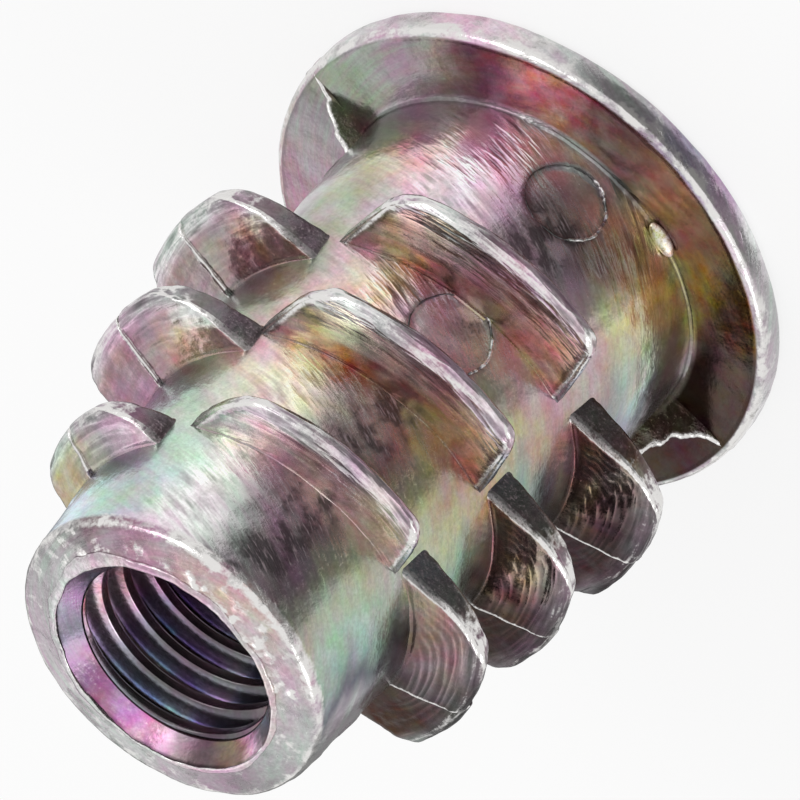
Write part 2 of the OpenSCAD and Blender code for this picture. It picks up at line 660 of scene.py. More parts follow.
@dataclass(frozen=True)
class ChromateFilm:
    """The iridescent film on cast zinc: patchy colour, fibres, worn edges and sooty, rough patches, with
    painted highlights, glints and shade carried by the same marks.
    """

    name: str
    roughness: float = 0.2
    rough_spread: float = 0.1
    grit: float = 0.24
    grit_size: float = 0.2
    contrast: float = 0.3
    fibre: float = 0.6
    swing: float = 0.55
    ripple_pitch: float = 0.2
    patch_size: float = 1.2
    cloud_size: float = 0.7
    speck_size: float = 0.13
    fibre_width: float = 0.13
    fold_width: float = 0.3
    scratch_width: float = 0.09
    swing_size: float = 1.5
    swing_width: float = 0.6
    soot_and_shade_share: float = 0.86
    bump_depth: float = 0.05
    metal: float = 0.94

    def material(self) -> bpy.types.Material:
        """Builds the material.

        Returns:
            A material that reads the marks of the piece's coat, and Object coordinates.
        """
        material, graph, shader = new_material(self.name)
        place = graph.field("ShaderNodeTexCoord", out="Object")
        strand = graph.mark("strand", "Vector")
        tint = graph.mark("tint", "Color")
        wear_and_highlight, soot_and_shade, crinkle_and_glint, ripple, gap = (graph.mark(name) for name in MARKS)

        patch = self._noise(graph, place, self.patch_size * MM, 3.0, 0.55).between(0.34, 0.66)
        cloud = self._noise(graph, place, self.cloud_size * MM, 4.0, 0.6).between(0.32, 0.68)
        speck = self._noise(graph, place, self.speck_size * MM, 3.0, 0.7).between(0.3, 0.7)
        fibres = self._noise(graph, strand, self.fibre_width, 3.0, 0.6).between(0.32, 0.68)
        folds = self._folds(graph, strand, self.fold_width)
        waves = self._waves(graph, gap, strand) * ripple
        rough_skin = (soot_and_shade + crinkle_and_glint + 0.22).least(1.0)
        streaks = (fibres - 0.5) * self.fibre * rough_skin + 1.0
        light = (speck * self.contrast + (1 - self.contrast / 2)) * streaks
        # The Value paints light: ripples lighter on their crests, crinkled skin lighter on its folds and
        # darker between them.
        shift = graph.field(
            "ShaderNodeHueSaturation",
            {
                "Hue": patch * 0.11 + 0.445,
                "Saturation": cloud * 0.7 + 0.65,
                "Value": light * (waves * 0.9 + 0.9) * (1.12 + crinkle_and_glint * (folds * 1.5 - 0.7)),
                "Color": tint,
            },
        )
        swung = self._swing(graph, place, strand, shift)
        # Worn edges and painted highlights turn silver; the crinkle's folds add painted glints.
        chips_and_glints = wear_and_highlight + (speck - 0.5) * 0.3 + (fibres - 0.5) * 0.2 + crinkle_and_glint * (folds - 0.62)
        worn_and_highlit = chips_and_glints.between(0.3, 0.7)
        silver = self._mix(graph, worn_and_highlit, swung, Hue.SILVER.linear())
        # Soot and painted shade darken the film towards a dark pearl.
        soot_and_shade_mask = (soot_and_shade + (speck - 0.5) * 0.35 + (fibres - 0.5) * 0.25).between(0.2, 0.8)
        scratch = soot_and_shade_mask * self._noise(graph, strand, self.scratch_width, 2.0, 0.7).between(0.54, 0.68)
        dark = self._mix(graph, soot_and_shade_mask * self.soot_and_shade_share, silver, Hue.PEARL.linear() * 0.07)
        colour = self._mix(graph, scratch * 0.5, dark, Hue.PEARL.linear())
        graph.feed(shader.inputs["Base Color"], colour)
        shader.inputs["Metallic"].default_value = self.metal
        rough = (speck - 0.5) * self.rough_spread + self.roughness + soot_and_shade_mask * 0.25 - worn_and_highlit * 0.05
        graph.feed(shader.inputs["Roughness"], rough.most(0.13).least(0.8))

        grit = self._noise(graph, place, self.grit_size * MM, 4.0, 0.62) * (soot_and_shade_mask * 1.8 + 0.8)
        height = grit + fibres * (soot_and_shade_mask + crinkle_and_glint * 0.5 + 0.12) + folds * crinkle_and_glint * 3.2 + waves * 1.2
        bump = graph.field(
            "ShaderNodeBump", {"Strength": self.grit, "Distance": self.bump_depth * MM, "Height": height}
        )
        graph.feed(shader.inputs["Normal"], bump)
        return material

    @staticmethod
    def _noise(graph: Graph, place: Field, size: float, detail: float, rough: float) -> Field:
        """Noise with patches of a size, in the unit of the place."""
        values = {"Vector": place, "Scale": 1 / size, "Detail": detail, "Roughness": rough}
        return graph.field("ShaderNodeTexNoise", values, out="Fac")

    def _folds(self, graph: Graph, place: Field, size: float) -> Field:
        """Sharp creases, as of crumpled foil: 1 on a crease, falling away to either side."""
        return 1.0 - ((self._noise(graph, place, size, 2.0, 0.5) - 0.5) * 5.0).math("ABSOLUTE").least(1.0)

    def _waves(self, graph: Graph, gap: Field, strand: Field) -> Field:
        """Fine ripples that follow a lug's edge, as the metal left them while it filled the die.

        Args:
            graph: the material's graph.
            gap: distance from the lug's edge, in millimetres.
            strand: places drawn out along the lug.

        Returns:
            0 in the troughs, 1 on the ripples.
        """
        drift = self._noise(graph, strand, 0.5, 1.0, 0.5)
        turn = (gap + drift * 0.35) * (FULL_TURN / self.ripple_pitch)
        return (turn.math("SINE") * 0.5 + 0.5).math("POWER", 2.0)

    def _swing(self, graph: Graph, place: Field, strand: Field, colour: Field) -> Field:
        """Lets a colour swing between pink and green from patch to patch.

        Args:
            graph: the material's graph.
            place: Object coordinates.
            strand: places drawn out along the flow.
            colour: the colour.

        Returns:
            The colour after the swing.
        """
        broad = self._noise(graph, place + 0.7, self.swing_size * MM, 3.0, 0.6)
        fine = self._noise(graph, strand, self.swing_width, 3.0, 0.6)
        patch = (broad * 0.6 + fine * 0.4).between(0.38, 0.62)
        pink, green = (hue.linear() * 2.2 for hue in (Hue.ORCHID, Hue.MINT))
        film = self._mix(graph, patch, pink, green, clamp_result=False)
        return self._mix(graph, self.swing, colour, film, blend_type="MULTIPLY")

    @staticmethod
    def _mix(graph: Graph, share: object, first: object, second: object, **settings: object) -> Field:
        """Blends two colours.

        Args:
            graph: the material's graph.
            share: how much of the second colour there is.
            first: a Field, or a linear colour.
            second: a Field, or a linear colour.
            settings: the Mix node's own settings.

        Returns:
            The blend.
        """
        ends = (first, second)
        colours = [(*end, 1.0) if isinstance(end, np.ndarray) else end for end in ends]
        node = graph.add("ShaderNodeMix", data_type="RGBA", **{"clamp_result": True} | settings)
        for key, value in zip(("Factor", "A", "B"), (share, *colours)):
            graph.feed(graph.pick(node.inputs, key), value)
        return Field(graph, next(s for s in node.outputs if s.enabled))


# ---------------------------------------------------------------- the turned casting


class Zone(Enum):
    """Surfaces of the turned casting."""

    FACE = "outer face of the flange"
    RIM = "rim"
    UNDERSIDE = "side of the flange that seats on the wood"
    NECK = "neck"
    BODY = "body"
    END = "end face"
    CONE = "countersink"
    BORE = "wall behind the fine thread"
    SOCKET = "hex socket"


def lies_on(zone: np.ndarray, *kinds: Zone) -> np.ndarray:
    """Whether each point lies on one of some zones."""
    return np.isin(zone, [kind.value for kind in kinds])


# Film colours of the casting's zones by bearing. The hues are the film's own; the strengths also paint light
# and shade, lighter where the metal catches a highlight and darker where it shows a dark reflection or lies
# in shade.
ZONE_SWEEPS: dict[Zone, Sweep] = {
    Zone.FACE: Sweep(((0, Hue.STRAW, 0.9), (90, Hue.BLUSH, 0.8), (180, Hue.SAGE, 1), (270, Hue.ASH, 1))),
    Zone.RIM: Sweep((
        (60, Hue.BLUSH, 0.8), (130, Hue.ASH, 1), (200, Hue.ASH, 1.05), (220, Hue.ASH, 1),
        (238, Hue.ASH, 1.9), (255, Hue.LILAC, 0.8), (272, Hue.ASH, 1), (290, Hue.ASH, 1.2),
        (308, Hue.PEARL, 1.2), (340, Hue.ASH, 1.2),
    )),
    Zone.UNDERSIDE: Sweep((
        (6, Hue.ASH, 0.5), (60, Hue.ROSE, 0.7), (110, Hue.SAGE, 0.8), (136, Hue.FAWN, 0.1),
        (165, Hue.CLAY, 0.08), (192, Hue.FAWN, 0.12), (206, Hue.FAWN, 0.2), (222, Hue.OCHRE, 0.75),
        (236, Hue.FAWN, 0.3), (250, Hue.FAWN, 0.38), (262, Hue.FAWN, 1), (276, Hue.FAWN, 0.5),
        (290, Hue.CLAY, 0.7), (304, Hue.ROSE, 0.25), (320, Hue.BLUSH, 0.4), (334, Hue.ASH, 0.55),
        (350, Hue.SAGE, 0.55),
    )),
    Zone.END: Sweep((
        (0, Hue.ASH, 0.8), (60, Hue.ASH, 1.15), (90, Hue.ASH, 1.25), (150, Hue.ASH, 0.7),
        (200, Hue.ASH, 1.1), (230, Hue.PEARL, 0.85), (270, Hue.BLUSH, 0.75), (300, Hue.PEARL, 0.65),
        (330, Hue.PEARL, 0.35),
    )),
    Zone.CONE: Sweep((
        (20, Hue.LILAC, 1), (40, Hue.LILAC, 0.5), (60, Hue.ORCHID, 0.55), (80, Hue.ORCHID, 0.75),
        (100, Hue.ORCHID, 1.6), (120, Hue.PEARL, 0.28), (140, Hue.PEARL, 0.2), (160, Hue.STRAW, 0.48),
        (180, Hue.PEARL, 2.2), (240, Hue.ASH, 0.5), (300, Hue.SILVER, 0.9),
    )),
    Zone.BORE: Sweep(((0, Hue.FAWN, 0.12), (180, Hue.FAWN, 0.12))),
    Zone.SOCKET: Sweep((
        (0, Hue.ASH, 0.6), (90, Hue.STRAW, 0.9), (180, Hue.ROSE, 0.9), (270, Hue.SAGE, 0.9),
    )),
}

# Film colours of neck and body at heights, by bearing. The strengths also paint light and shade, such as the
# bright band near bearing 300 and the darker reflections beside it.
WALL_SWEEPS: tuple[tuple[float, Sweep], ...] = (
    (2.2, Sweep((
        (60, Hue.SAGE, 0.8), (120, Hue.ROSE, 0.7), (192, Hue.ASH, 1.5), (210, Hue.KHAKI, 1.7),
        (228, Hue.KHAKI, 1), (243, Hue.STRAW, 1.1), (256, Hue.STRAW, 0.9), (270, Hue.ASH, 0.65),
        (284, Hue.SILVER, 1), (300, Hue.PEARL, 0.85), (314, Hue.PEARL, 0.75), (340, Hue.SILVER, 0.6),
    ))),
    (4.1, Sweep((
        (60, Hue.SAGE, 0.9), (120, Hue.ROSE, 0.8), (192, Hue.ASH, 0.4), (205, Hue.ICE, 0.65),
        (214, Hue.MINT, 1.2), (228, Hue.KHAKI, 1.55), (243, Hue.STRAW, 1.5), (256, Hue.BLUSH, 0.45),
        (270, Hue.PEARL, 0.75), (284, Hue.PEARL, 0.75), (300, Hue.PEARL, 1.5), (314, Hue.BLUSH, 1.15),
        (330, Hue.STRAW, 1.25), (346, Hue.SILVER, 0.85),
    ))),
    (6.5, Sweep((
        (60, Hue.ROSE, 0.9), (120, Hue.SAGE, 0.8), (192, Hue.ASH, 0.3), (210, Hue.ICE, 0.4),
        (228, Hue.BLUSH, 0.55), (243, Hue.PEARL, 0.95), (256, Hue.PEARL, 1.1), (270, Hue.PEARL, 1.35),
        (284, Hue.PEARL, 1.05), (300, Hue.PEARL, 1), (314, Hue.PEARL, 1), (330, Hue.SAGE, 1.05),
        (346, Hue.ASH, 0.85),
    ))),
    (13.0, Sweep((
        (60, Hue.ROSE, 0.8), (120, Hue.SAGE, 0.8), (192, Hue.ASH, 0.2), (206, Hue.SAGE, 0.4),
        (216, Hue.MINT, 0.6), (228, Hue.STRAW, 0.85), (243, Hue.STRAW, 0.7), (256, Hue.STRAW, 0.75),
        (270, Hue.FAWN, 0.85), (284, Hue.BLUSH, 0.75), (300, Hue.STRAW, 1.5), (314, Hue.BLUSH, 1),
        (330, Hue.SAGE, 1.1), (346, Hue.ASH, 0.9),
    ))),
    (20.0, Sweep((
        (60, Hue.PEARL, 0.9), (120, Hue.SAGE, 0.9), (192, Hue.ASH, 1.3), (206, Hue.ICE, 0.2),
        (216, Hue.MINT, 0.65), (228, Hue.MINT, 0.85), (243, Hue.SAGE, 1.1), (256, Hue.PEARL, 0.4),
        (270, Hue.PEARL, 0.7), (284, Hue.ASH, 0.8), (300, Hue.SILVER, 1.1), (314, Hue.MINT, 1.2),
        (330, Hue.MINT, 1.1), (346, Hue.ICE, 1.3),
    ))),
)


@dataclass
class Casting:
    """The turned part of the casting: flange, neck, body, end face, countersink and socket."""

    rim_r: float
    length: float
    columns: int = 360
    flange_t: float = 1.25
    rim_round: float = 0.3
    face_round: float = 0.25
    neck_r: float = 6.5
    neck_len: float = 4.0
    neck_fillet: float = 0.14
    shaded_heights: tuple[float, ...] = (10.3, 14.8, 19.3)
    tip_r: float = 5.4
    tip_round: float = 0.3
    tip_fall: float = 0.4
    mouth_r: float = 3.97
    lip_h: float = 0.1
    core_r: float = 3.4
    sink_depth: float = 0.85
    wall_r: float = 4.0
    bore_r: float = 3.35
    hex_half: float = 4.05
    hex_depth: float = 6.0
    hex_cone: float = 0.7
    hex_chamfer: float = 0.25
    pin_r: float = 1.4
    pin_bearing: float = 271.0
    pin_heights: tuple[float, float] = (3.25, 10.1)
    pin_depth: float = 0.08
    bead_height: float = 0.08
    parting_height: float = 0.05
    ring_step: float = 0.15
    finish: ChromateFilm = field(default_factory=lambda: ChromateFilm("cast_film"))

    @property
    def taper_start(self) -> float:
        """Height at which the body starts to narrow."""
        return self.flange_t + self.neck_len

    @property
    def taper_end(self) -> float:
        """Height at which the body's taper meets the rounded edge of the end face."""
        return self.length - self.tip_fall - self.tip_round

    def body_r(self, height: np.ndarray | float) -> np.ndarray | float:
        """Radius of the plain body at a height."""
        share = np.clip((height - self.taper_start) / (self.taper_end - self.taper_start), 0, 1)
        return self.neck_r + (self.tip_r - self.neck_r) * share

    def _profile(self) -> list[tuple[float, float, float, Zone]]:
        """The section, from the socket's mouth round the outside and back up the bore.

        Returns:
            Stations of (radius, height, share of hexagon, zone).
        """
        step = self.ring_step
        stations: list[tuple[float, float, float, Zone]] = []

        def line(start: tuple, end: tuple, zone: Zone, spacing: float, hexes: tuple = (0, 0)) -> None:
            """Adds stations along a straight stretch, without its last point.

            Args:
                start: radius and height of the first point.
                end: radius and height of the last point.
                zone: the surface.
                spacing: millimetres between stations.
                hexes: shares of hexagon at both points.
            """
            steps = max(1, round(math.dist(start, end) / spacing))
            for k in range(steps):
                s = k / steps
                place = [a + (b - a) * s for a, b in zip((*start, hexes[0]), (*end, hexes[1]))]
                stations.append((*place, zone))

        def turn(centre: tuple, radius: float, start: float, end: float, zone: Zone, steps: int) -> None:
            """Adds stations along a rounded edge, without its last point.

            Args:
                centre: radius and height of the centre.
                radius: the radius of the rounding.
                start: first angle in degrees.
                end: last angle.
                zone: the surface.
                steps: number of stations.
            """
            for k in range(steps):
                a = math.radians(start + (end - start) * k / steps)
                place = (centre[0] + radius * math.cos(a), centre[1] + radius * math.sin(a))
                stations.append((*place, 0.0, zone))

        top = self.flange_t
        face_edge = self.rim_r - self.face_round
        seat_edge = self.rim_r - self.rim_round
        foot = self.neck_r + self.neck_fillet
        shoulder = self.tip_r - self.tip_round
        cone_foot = self.length - self.sink_depth
        lip_top = self.length - self.lip_h
        wide_hex = self.hex_half + self.hex_chamfer
        socket_end = self.hex_depth + self.hex_cone

        line((wide_hex, 0), (face_edge, 0), Zone.FACE, 0.4, (1, 0))
        turn((face_edge, self.face_round), self.face_round, 270, 360, Zone.RIM, 5)
        line((self.rim_r, self.face_round), (self.rim_r, top - self.rim_round), Zone.RIM, step)
        turn((seat_edge, top - self.rim_round), self.rim_round, 0, 90, Zone.RIM, 6)
        line((seat_edge, top), (foot, top), Zone.UNDERSIDE, step)
        turn((foot, top + self.neck_fillet), self.neck_fillet, 270, 180, Zone.NECK, 5)
        line((self.neck_r, top + self.neck_fillet), (self.neck_r, self.taper_start), Zone.NECK, step)
        line((self.neck_r, self.taper_start), (self.tip_r, self.taper_end), Zone.BODY, step)
        turn((shoulder, self.taper_end), self.tip_round, 0, 75, Zone.END, 6)
        line((shoulder, self.taper_end + self.tip_round), (self.mouth_r, lip_top), Zone.END, 0.1)
        line((self.mouth_r, lip_top), (self.core_r, cone_foot), Zone.CONE, 0.07)
        line((self.core_r, cone_foot), (self.wall_r, cone_foot - 0.05), Zone.BORE, 0.3)
        line((self.wall_r, cone_foot - 0.05), (self.wall_r, socket_end + 0.05), Zone.BORE, 2.5)
        line((self.wall_r, socket_end + 0.05), (self.bore_r, socket_end), Zone.BORE, 0.3)
        cone_edge = self.hex_half - self.hex_chamfer
        line((self.bore_r, socket_end), (cone_edge, self.hex_depth), Zone.SOCKET, 0.2)
        line((cone_edge, self.hex_depth), (self.hex_half, self.hex_depth), Zone.SOCKET, 0.3, (0, 1))
        line((self.hex_half, self.hex_depth), (self.hex_half, self.hex_chamfer), Zone.SOCKET, 0.6, (1, 1))
        line((self.hex_half, self.hex_chamfer), (wide_hex, 0), Zone.SOCKET, 0.15, (1, 1))
        return stations

    def _rings(self, stations: Sequence[tuple[float, float, float, Zone]]) -> np.ndarray:
        """Turns the section about the bore, and draws the socket's rings out to a hexagon.

        Args:
            stations: the section.

        Returns:
            Points, as ring, place along the ring, axis.
        """
        angle = full_circle(self.columns)
        sixth = FULL_TURN / 6
        to_hexagon = 1 / np.cos(angle % sixth - sixth / 2)
        radius, height, share = (np.array([station[k] for station in stations])[:, None] for k in range(3))
        return around_bore(radius * (1 + (to_hexagon - 1) * share), angle, height)

    def _relief(self, points: np.ndarray, zone: np.ndarray) -> np.ndarray:
        """How far each point stands out of the plain shape.

        Args:
            points: places in millimetres.
            zone: the zone of each point.

        Returns:
            Millimetres along the outward normal.
        """
        outer = lies_on(zone, Zone.RIM, Zone.UNDERSIDE, Zone.NECK, Zone.BODY)
        ended = lies_on(zone, Zone.END)
        out = cast_skin(points, 1.7, seed=11) * 0.022 * outer
        out += cast_skin(points, 0.5, seed=21, octaves=2) * 0.008 * outer
        folds = cast_skin(self._strands(points), 0.34, seed=25, octaves=2) * 0.03 - 0.01
        out += self._crinkle_and_glint(points, zone) * folds
        out += (cast_skin(points, 0.34, seed=31) * 0.008 + self._beads(points) * self.bead_height) * ended
        out += cast_skin(points, 1.6, seed=35) * 0.03 * ended
        out += cast_skin(points, 1.2, seed=41) * 0.006 * lies_on(zone, Zone.CONE)
        out += self._parting_flash(points) * (outer | ended)
        for k, height in enumerate(self.pin_heights):
            out += self._pin_print(points, height, 61 + k) * outer
        return out - 0.03 * lies_on(zone, Zone.RIM) - 0.02 * ended

    @staticmethod
    def _beads(points: np.ndarray) -> np.ndarray:
        """Little beads of metal on the end face, most of them toward the pins' side."""
        near_mouth = 1 - ease(4.7, 5.1, reach_of(points))
        return np.maximum(grain(points, 0.22, seed=33), 0) * facing(bearing_of(points), 245, 60) * near_mouth

    def _parting_flash(self, points: np.ndarray) -> np.ndarray:
        """The thin ridge that the die left where its halves met."""
        strength = ease(-0.4, 0.5, cast_skin(points, 1.1, seed=71))
        return self.parting_height * strength * bell(points[:, 1], 0.1)

    def _pin_print(self, points: np.ndarray, height: float, seed: int) -> np.ndarray:
        """A shallow print of an ejector pin, with a low swelling round its edge.

        Args:
            points: places in millimetres.
            height: height of the print's middle.
            seed: picks where the edge swells.

        Returns:
            Millimetres out of the wall.
        """
        distance = self._from_pin(points, height)
        depth = self.pin_depth * (1 - ease(self.pin_r - 0.1, self.pin_r + 0.02, distance))
        swell = ease(-0.6, 0.6, grain(points, 0.9, seed)) * bell(distance - self.pin_r - 0.12, 0.14)
        return 0.03 * swell - depth

    def _from_pin(self, points: np.ndarray, height: float) -> np.ndarray:
        """Measures along the wall from the middle of a pin's print.

        Args:
            points: places in millimetres.
            height: height of the print's middle.

        Returns:
            Millimetres.
        """
        around = np.radians(turned(bearing_of(points), self.pin_bearing))
        far_side = np.abs(around) > 1
        return np.hypot(around * self.body_r(height), points[:, 2] - height) + 9 * far_side

    @staticmethod
    def _strands(points: np.ndarray) -> np.ndarray:
        """Draws places out along the way the metal flowed.

        Args:
            points: places in millimetres.

        Returns:
            The places for noise that runs in strands.
        """
        reach = reach_of(points)
        turn = np.radians((bearing_of(points) - 90) % 360) * reach
        return np.stack((turn * 0.16, points[:, 2] + 0.42 * turn, reach), axis=1)

    @staticmethod
    def _crinkle_and_glint(points: np.ndarray, zone: np.ndarray) -> np.ndarray:
        """How far the skin is crumpled, which also sets where the finish paints glints along the folds: most
        on the pins' side, to the left of their prints.

        Args:
            points: places in millimetres.
            zone: the zone of each point.

        Returns:
            0 to 1 for each point.
        """
        bearing, height = bearing_of(points), points[:, 2]
        band = facing(bearing, 298, 15) * (1 - 0.65 * ease(9, 13, height) + 0.3 * ease(18, 20, height))
        patch = 0.8 * facing(bearing, 252, 12) * (1 - ease(4.2, 5.4, height))
        broken = ease(-0.7, 0.5, cast_skin(points, 1.4, seed=95))
        return np.clip((band + patch) * broken, 0, 1) * lies_on(zone, Zone.NECK, Zone.BODY)

    def _film(self, points: np.ndarray, zone: np.ndarray) -> np.ndarray:
        """Colours the film, with light and shade painted in from the sweeps and from _shade.

        Args:
            points: places in millimetres.
            zone: the zone of each point.

        Returns:
            Linear colours, one row per point.
        """
        drift = cast_skin(points, 1.9, seed=81) * 5 + cast_skin(self._strands(points), 0.5, seed=82) * 5
        bearing = (bearing_of(points) + drift) % 360
        colours = np.zeros((len(points), 3))
        for kind, sweep in ZONE_SWEEPS.items():
            chosen = lies_on(zone, kind)
            colours[chosen] = sweep.at(bearing[chosen])
        wall = lies_on(zone, Zone.NECK, Zone.BODY)
        levels = np.array([level for level, _ in WALL_SWEEPS])
        height = points[wall, 2] + cast_skin(points[wall], 1.3, seed=85) * 0.35
        level = np.interp(height, levels, np.arange(len(levels)))
        sweeps = np.array([sweep.at(bearing[wall]) for _, sweep in WALL_SWEEPS])
        lower = np.minimum(level.astype(int), len(levels) - 2)
        share = (level - lower)[:, None]
        each = np.arange(len(level))
        colours[wall] = sweeps[lower, each] * (1 - share) + sweeps[lower + 1, each] * share
        return colours * self._shade(points, zone)[:, None]

    def _shade(self, points: np.ndarray, zone: np.ndarray) -> np.ndarray:
        """Paints shade into the film: a shadow in the crack under the burr, shade in the corner between neck
        and flange and round the pins' prints, and shade with the lugs' dark reflection on the body under
        them.

        Args:
            points: places in millimetres.
            zone: the zone of each point.

        Returns:
            What the colours are multiplied by.
        """
        # Painted shadow in the crack under the burr's overhang.
        below_lip = self.length - self.lip_h - points[:, 2]
        shade_under_burr = 1 - ease(0.05, 0.14, below_lip + 0.05 * grain(points, 0.3, seed=87))
        shade_under_burr *= lies_on(zone, Zone.CONE) * ease(-0.5, 0.1, cast_skin(points, 1.2, seed=88))
        shade = 1 - 0.7 * shade_under_burr
        reach = reach_of(points)
        # Painted shade in the corner between neck and flange.
        corner = np.hypot(reach - self.neck_r - 0.04, points[:, 2] - self.flange_t - 0.04)
        shade -= 0.6 * bell(corner, 0.16)
        # Painted shade round the edge of each pin's print.
        for height in self.pin_heights:
            shade -= 0.45 * bell(self._from_pin(points, height) - self.pin_r, 0.12)
        # Painted shade, with the lugs' dark reflection, on the body just under the lugs of the left and
        # right columns.
        for middle, height in product((342, 203), self.shaded_heights):
            aside = turned(bearing_of(points), middle)
            below = points[:, 2] - height - 0.012 * (aside + middle - 342)
            shade -= 0.55 * bell(aside, 16) * bell(below, 0.65) * (reach > self.tip_r)
        return np.clip(shade, 0.1, 1)

    def _coat(self, points: np.ndarray, zone: np.ndarray) -> Coat:
        """The film's marks on each point, with painted highlights on the rounded edges of rim and end face.

        Args:
            points: places in millimetres.
            zone: the zone of each point.

        Returns:
            The coat.
        """
        reach, height = reach_of(points), points[:, 2]
        # Silver along the rounded edges of rim and end face: edge wear, and a painted highlight on the
        # rounding.
        rim_edge = bell(reach - self.rim_r + 0.05, 0.14) * ease(0.6, 1.1, height)
        tip_edge = bell(reach - self.tip_r + 0.08, 0.14) * (height > self.taper_end - 0.2)
        broken = 0.5 + 0.5 * ease(-0.4, 0.5, cast_skin(points, 0.9, seed=92))
        pitted = lies_on(zone, Zone.RIM, Zone.END)
        scuffs = 0.22 * ease(0.1, 0.8, cast_skin(points, 2.6, seed=91)) * ~lies_on(zone, Zone.UNDERSIDE)
        scuffs += 0.4 * pitted * ease(0.0, 0.7, cast_skin(points, 0.4, seed=93))
        scuffs += 1.1 * self._beads(points) * lies_on(zone, Zone.END)
        return Coat(
            tint=self._film(points, zone),
            strand=self._strands(points),
            wear_and_highlight=(rim_edge * 0.75 + tip_edge * 0.8) * broken + scuffs,
            soot_and_shade=0.35 * pitted * ease(0.0, 0.8, cast_skin(points, 0.5, seed=94)) + self._soot_and_shade(points, zone),
            crinkle_and_glint=self._crinkle_and_glint(points, zone),
        )

    def _soot_and_shade(self, points: np.ndarray, zone: np.ndarray) -> np.ndarray:
        """How dark the wall is on the pins' side, in blotches: sooty skin, with painted shade where the wall
        shows a dark reflection.

        Args:
            points: places in millimetres.
            zone: the zone of each point.

        Returns:
            0 to 1 for each point.
        """
        height = points[:, 2]
        blotch = cast_skin(points, 0.8, seed=101, octaves=4)
        blotch += 0.6 * cast_skin(self._strands(points), 0.3, seed=102)
        dark = facing(bearing_of(points), 269, 14) * lies_on(zone, Zone.NECK, Zone.BODY)
        dark *= ease(2.6, 4.2, height) * (1 - 0.45 * bell(height - 10.6, 3))
        return dark * (0.3 + 0.7 * ease(-0.7, 0.5, blotch))

    def build(self) -> bpy.types.Object:
        """Builds the casting and gives it its finish.

        Returns:
            The piece.
        """
        stations = self._profile()
        mesh = tube_mesh(self._rings(stations), closed=True)
        face_outwards(mesh)
        zone = np.repeat([kind.value for *_, kind in stations], self.columns)
        points, normals = mesh_arrays(mesh)
        shaped = points + normals * self._relief(points, zone)[:, None]
        shaped[:, :2] *= np.minimum(1, self.rim_r / reach_of(shaped))[:, None]
        shaped[:, 2] = np.clip(shaped[:, 2], 0, self.length)
        move_points(mesh, shaped)
        self._coat(points, zone).put_on(mesh)
        return new_piece("casting", mesh, self.finish.material())


@dataclass
class MouthBurr:
    """The ragged burr that lies on the end face and hangs a little over the countersink."""

    casting: Casting
    width: float = 0.22
    wide_bearing: float = 350.0
    extra: float = 0.36
    overhang: float = 0.06
    thickness: float = 0.12
    columns: int = 720
    finish: ChromateFilm = field(default_factory=lambda: ChromateFilm("burr_film", grit=0.4))

    # The section's corners, from its inner edge over the top to its outer edge: share of the
    # width, height as a share of the burr's height or thickness, and wear.
    SECTION = (
        (0.05, -1.0, 0.1), (0.0, -0.2, 0.7), (0.03, 0.6, 0.75), (0.14, 1.0, 0.35),
        (0.5, 0.8, 0.1), (0.82, 0.55, 0.25), (0.97, 0.1, 0.5), (1.0, -0.8, 0.1),
    )

    def build(self) -> bpy.types.Object:
        """Builds the burr as a closed ring whose width and edges wander.

        Returns:
            The piece.
        """
        casting = self.casting
        angle = full_circle(self.columns)
        bearing = np.degrees(angle)
        circle = around_bore(casting.mouth_r, angle, 0.0)
        broad = facing(bearing, self.wide_bearing, 42) * (0.75 + 0.35 * cast_skin(circle, 1.6, seed=201))
        wide = self.width * (0.85 + 0.45 * cast_skin(circle, 1.3, seed=202, octaves=4))
        wide += self.extra * np.clip(broad, 0, 1)
        bent = 0.2 + 0.8 * facing(bearing, 40, 75)
        bent *= 1 + 0.9 * cast_skin(circle, 0.7, seed=203, octaves=4)
        inner = casting.mouth_r - self.overhang * bent
        wide = np.maximum(wide, 0.12)[:, None]
        tall = 0.05 + 0.04 * cast_skin(circle, 0.6, seed=204)[:, None]
        fall = casting.tip_fall * wide / 3.2
        share, rise, edge = np.array(self.SECTION).T
        height = casting.length - casting.lip_h - fall * share
        lift = rise * np.where(rise > 0, tall, self.thickness)
        rings = around_bore(inner[:, None] + wide * share, angle[:, None], height + lift)
        mesh = tube_mesh(rings, closed=True)
        points, _ = mesh_arrays(mesh)
        sweep = Sweep(((0, Hue.ASH, 1.1), (90, Hue.ASH, 1.2), (200, Hue.PEARL, 1), (300, Hue.PEARL, 0.8)))
        wear_and_highlight = np.tile(edge, self.columns) * (0.8 + 0.4 * cast_skin(points, 0.5, seed=205))
        Coat(tint=sweep.at(bearing_of(points)), strand=points * 0.6, wear_and_highlight=wear_and_highlight).put_on(mesh)
        return new_piece("mouth_burr", mesh, self.finish.material())


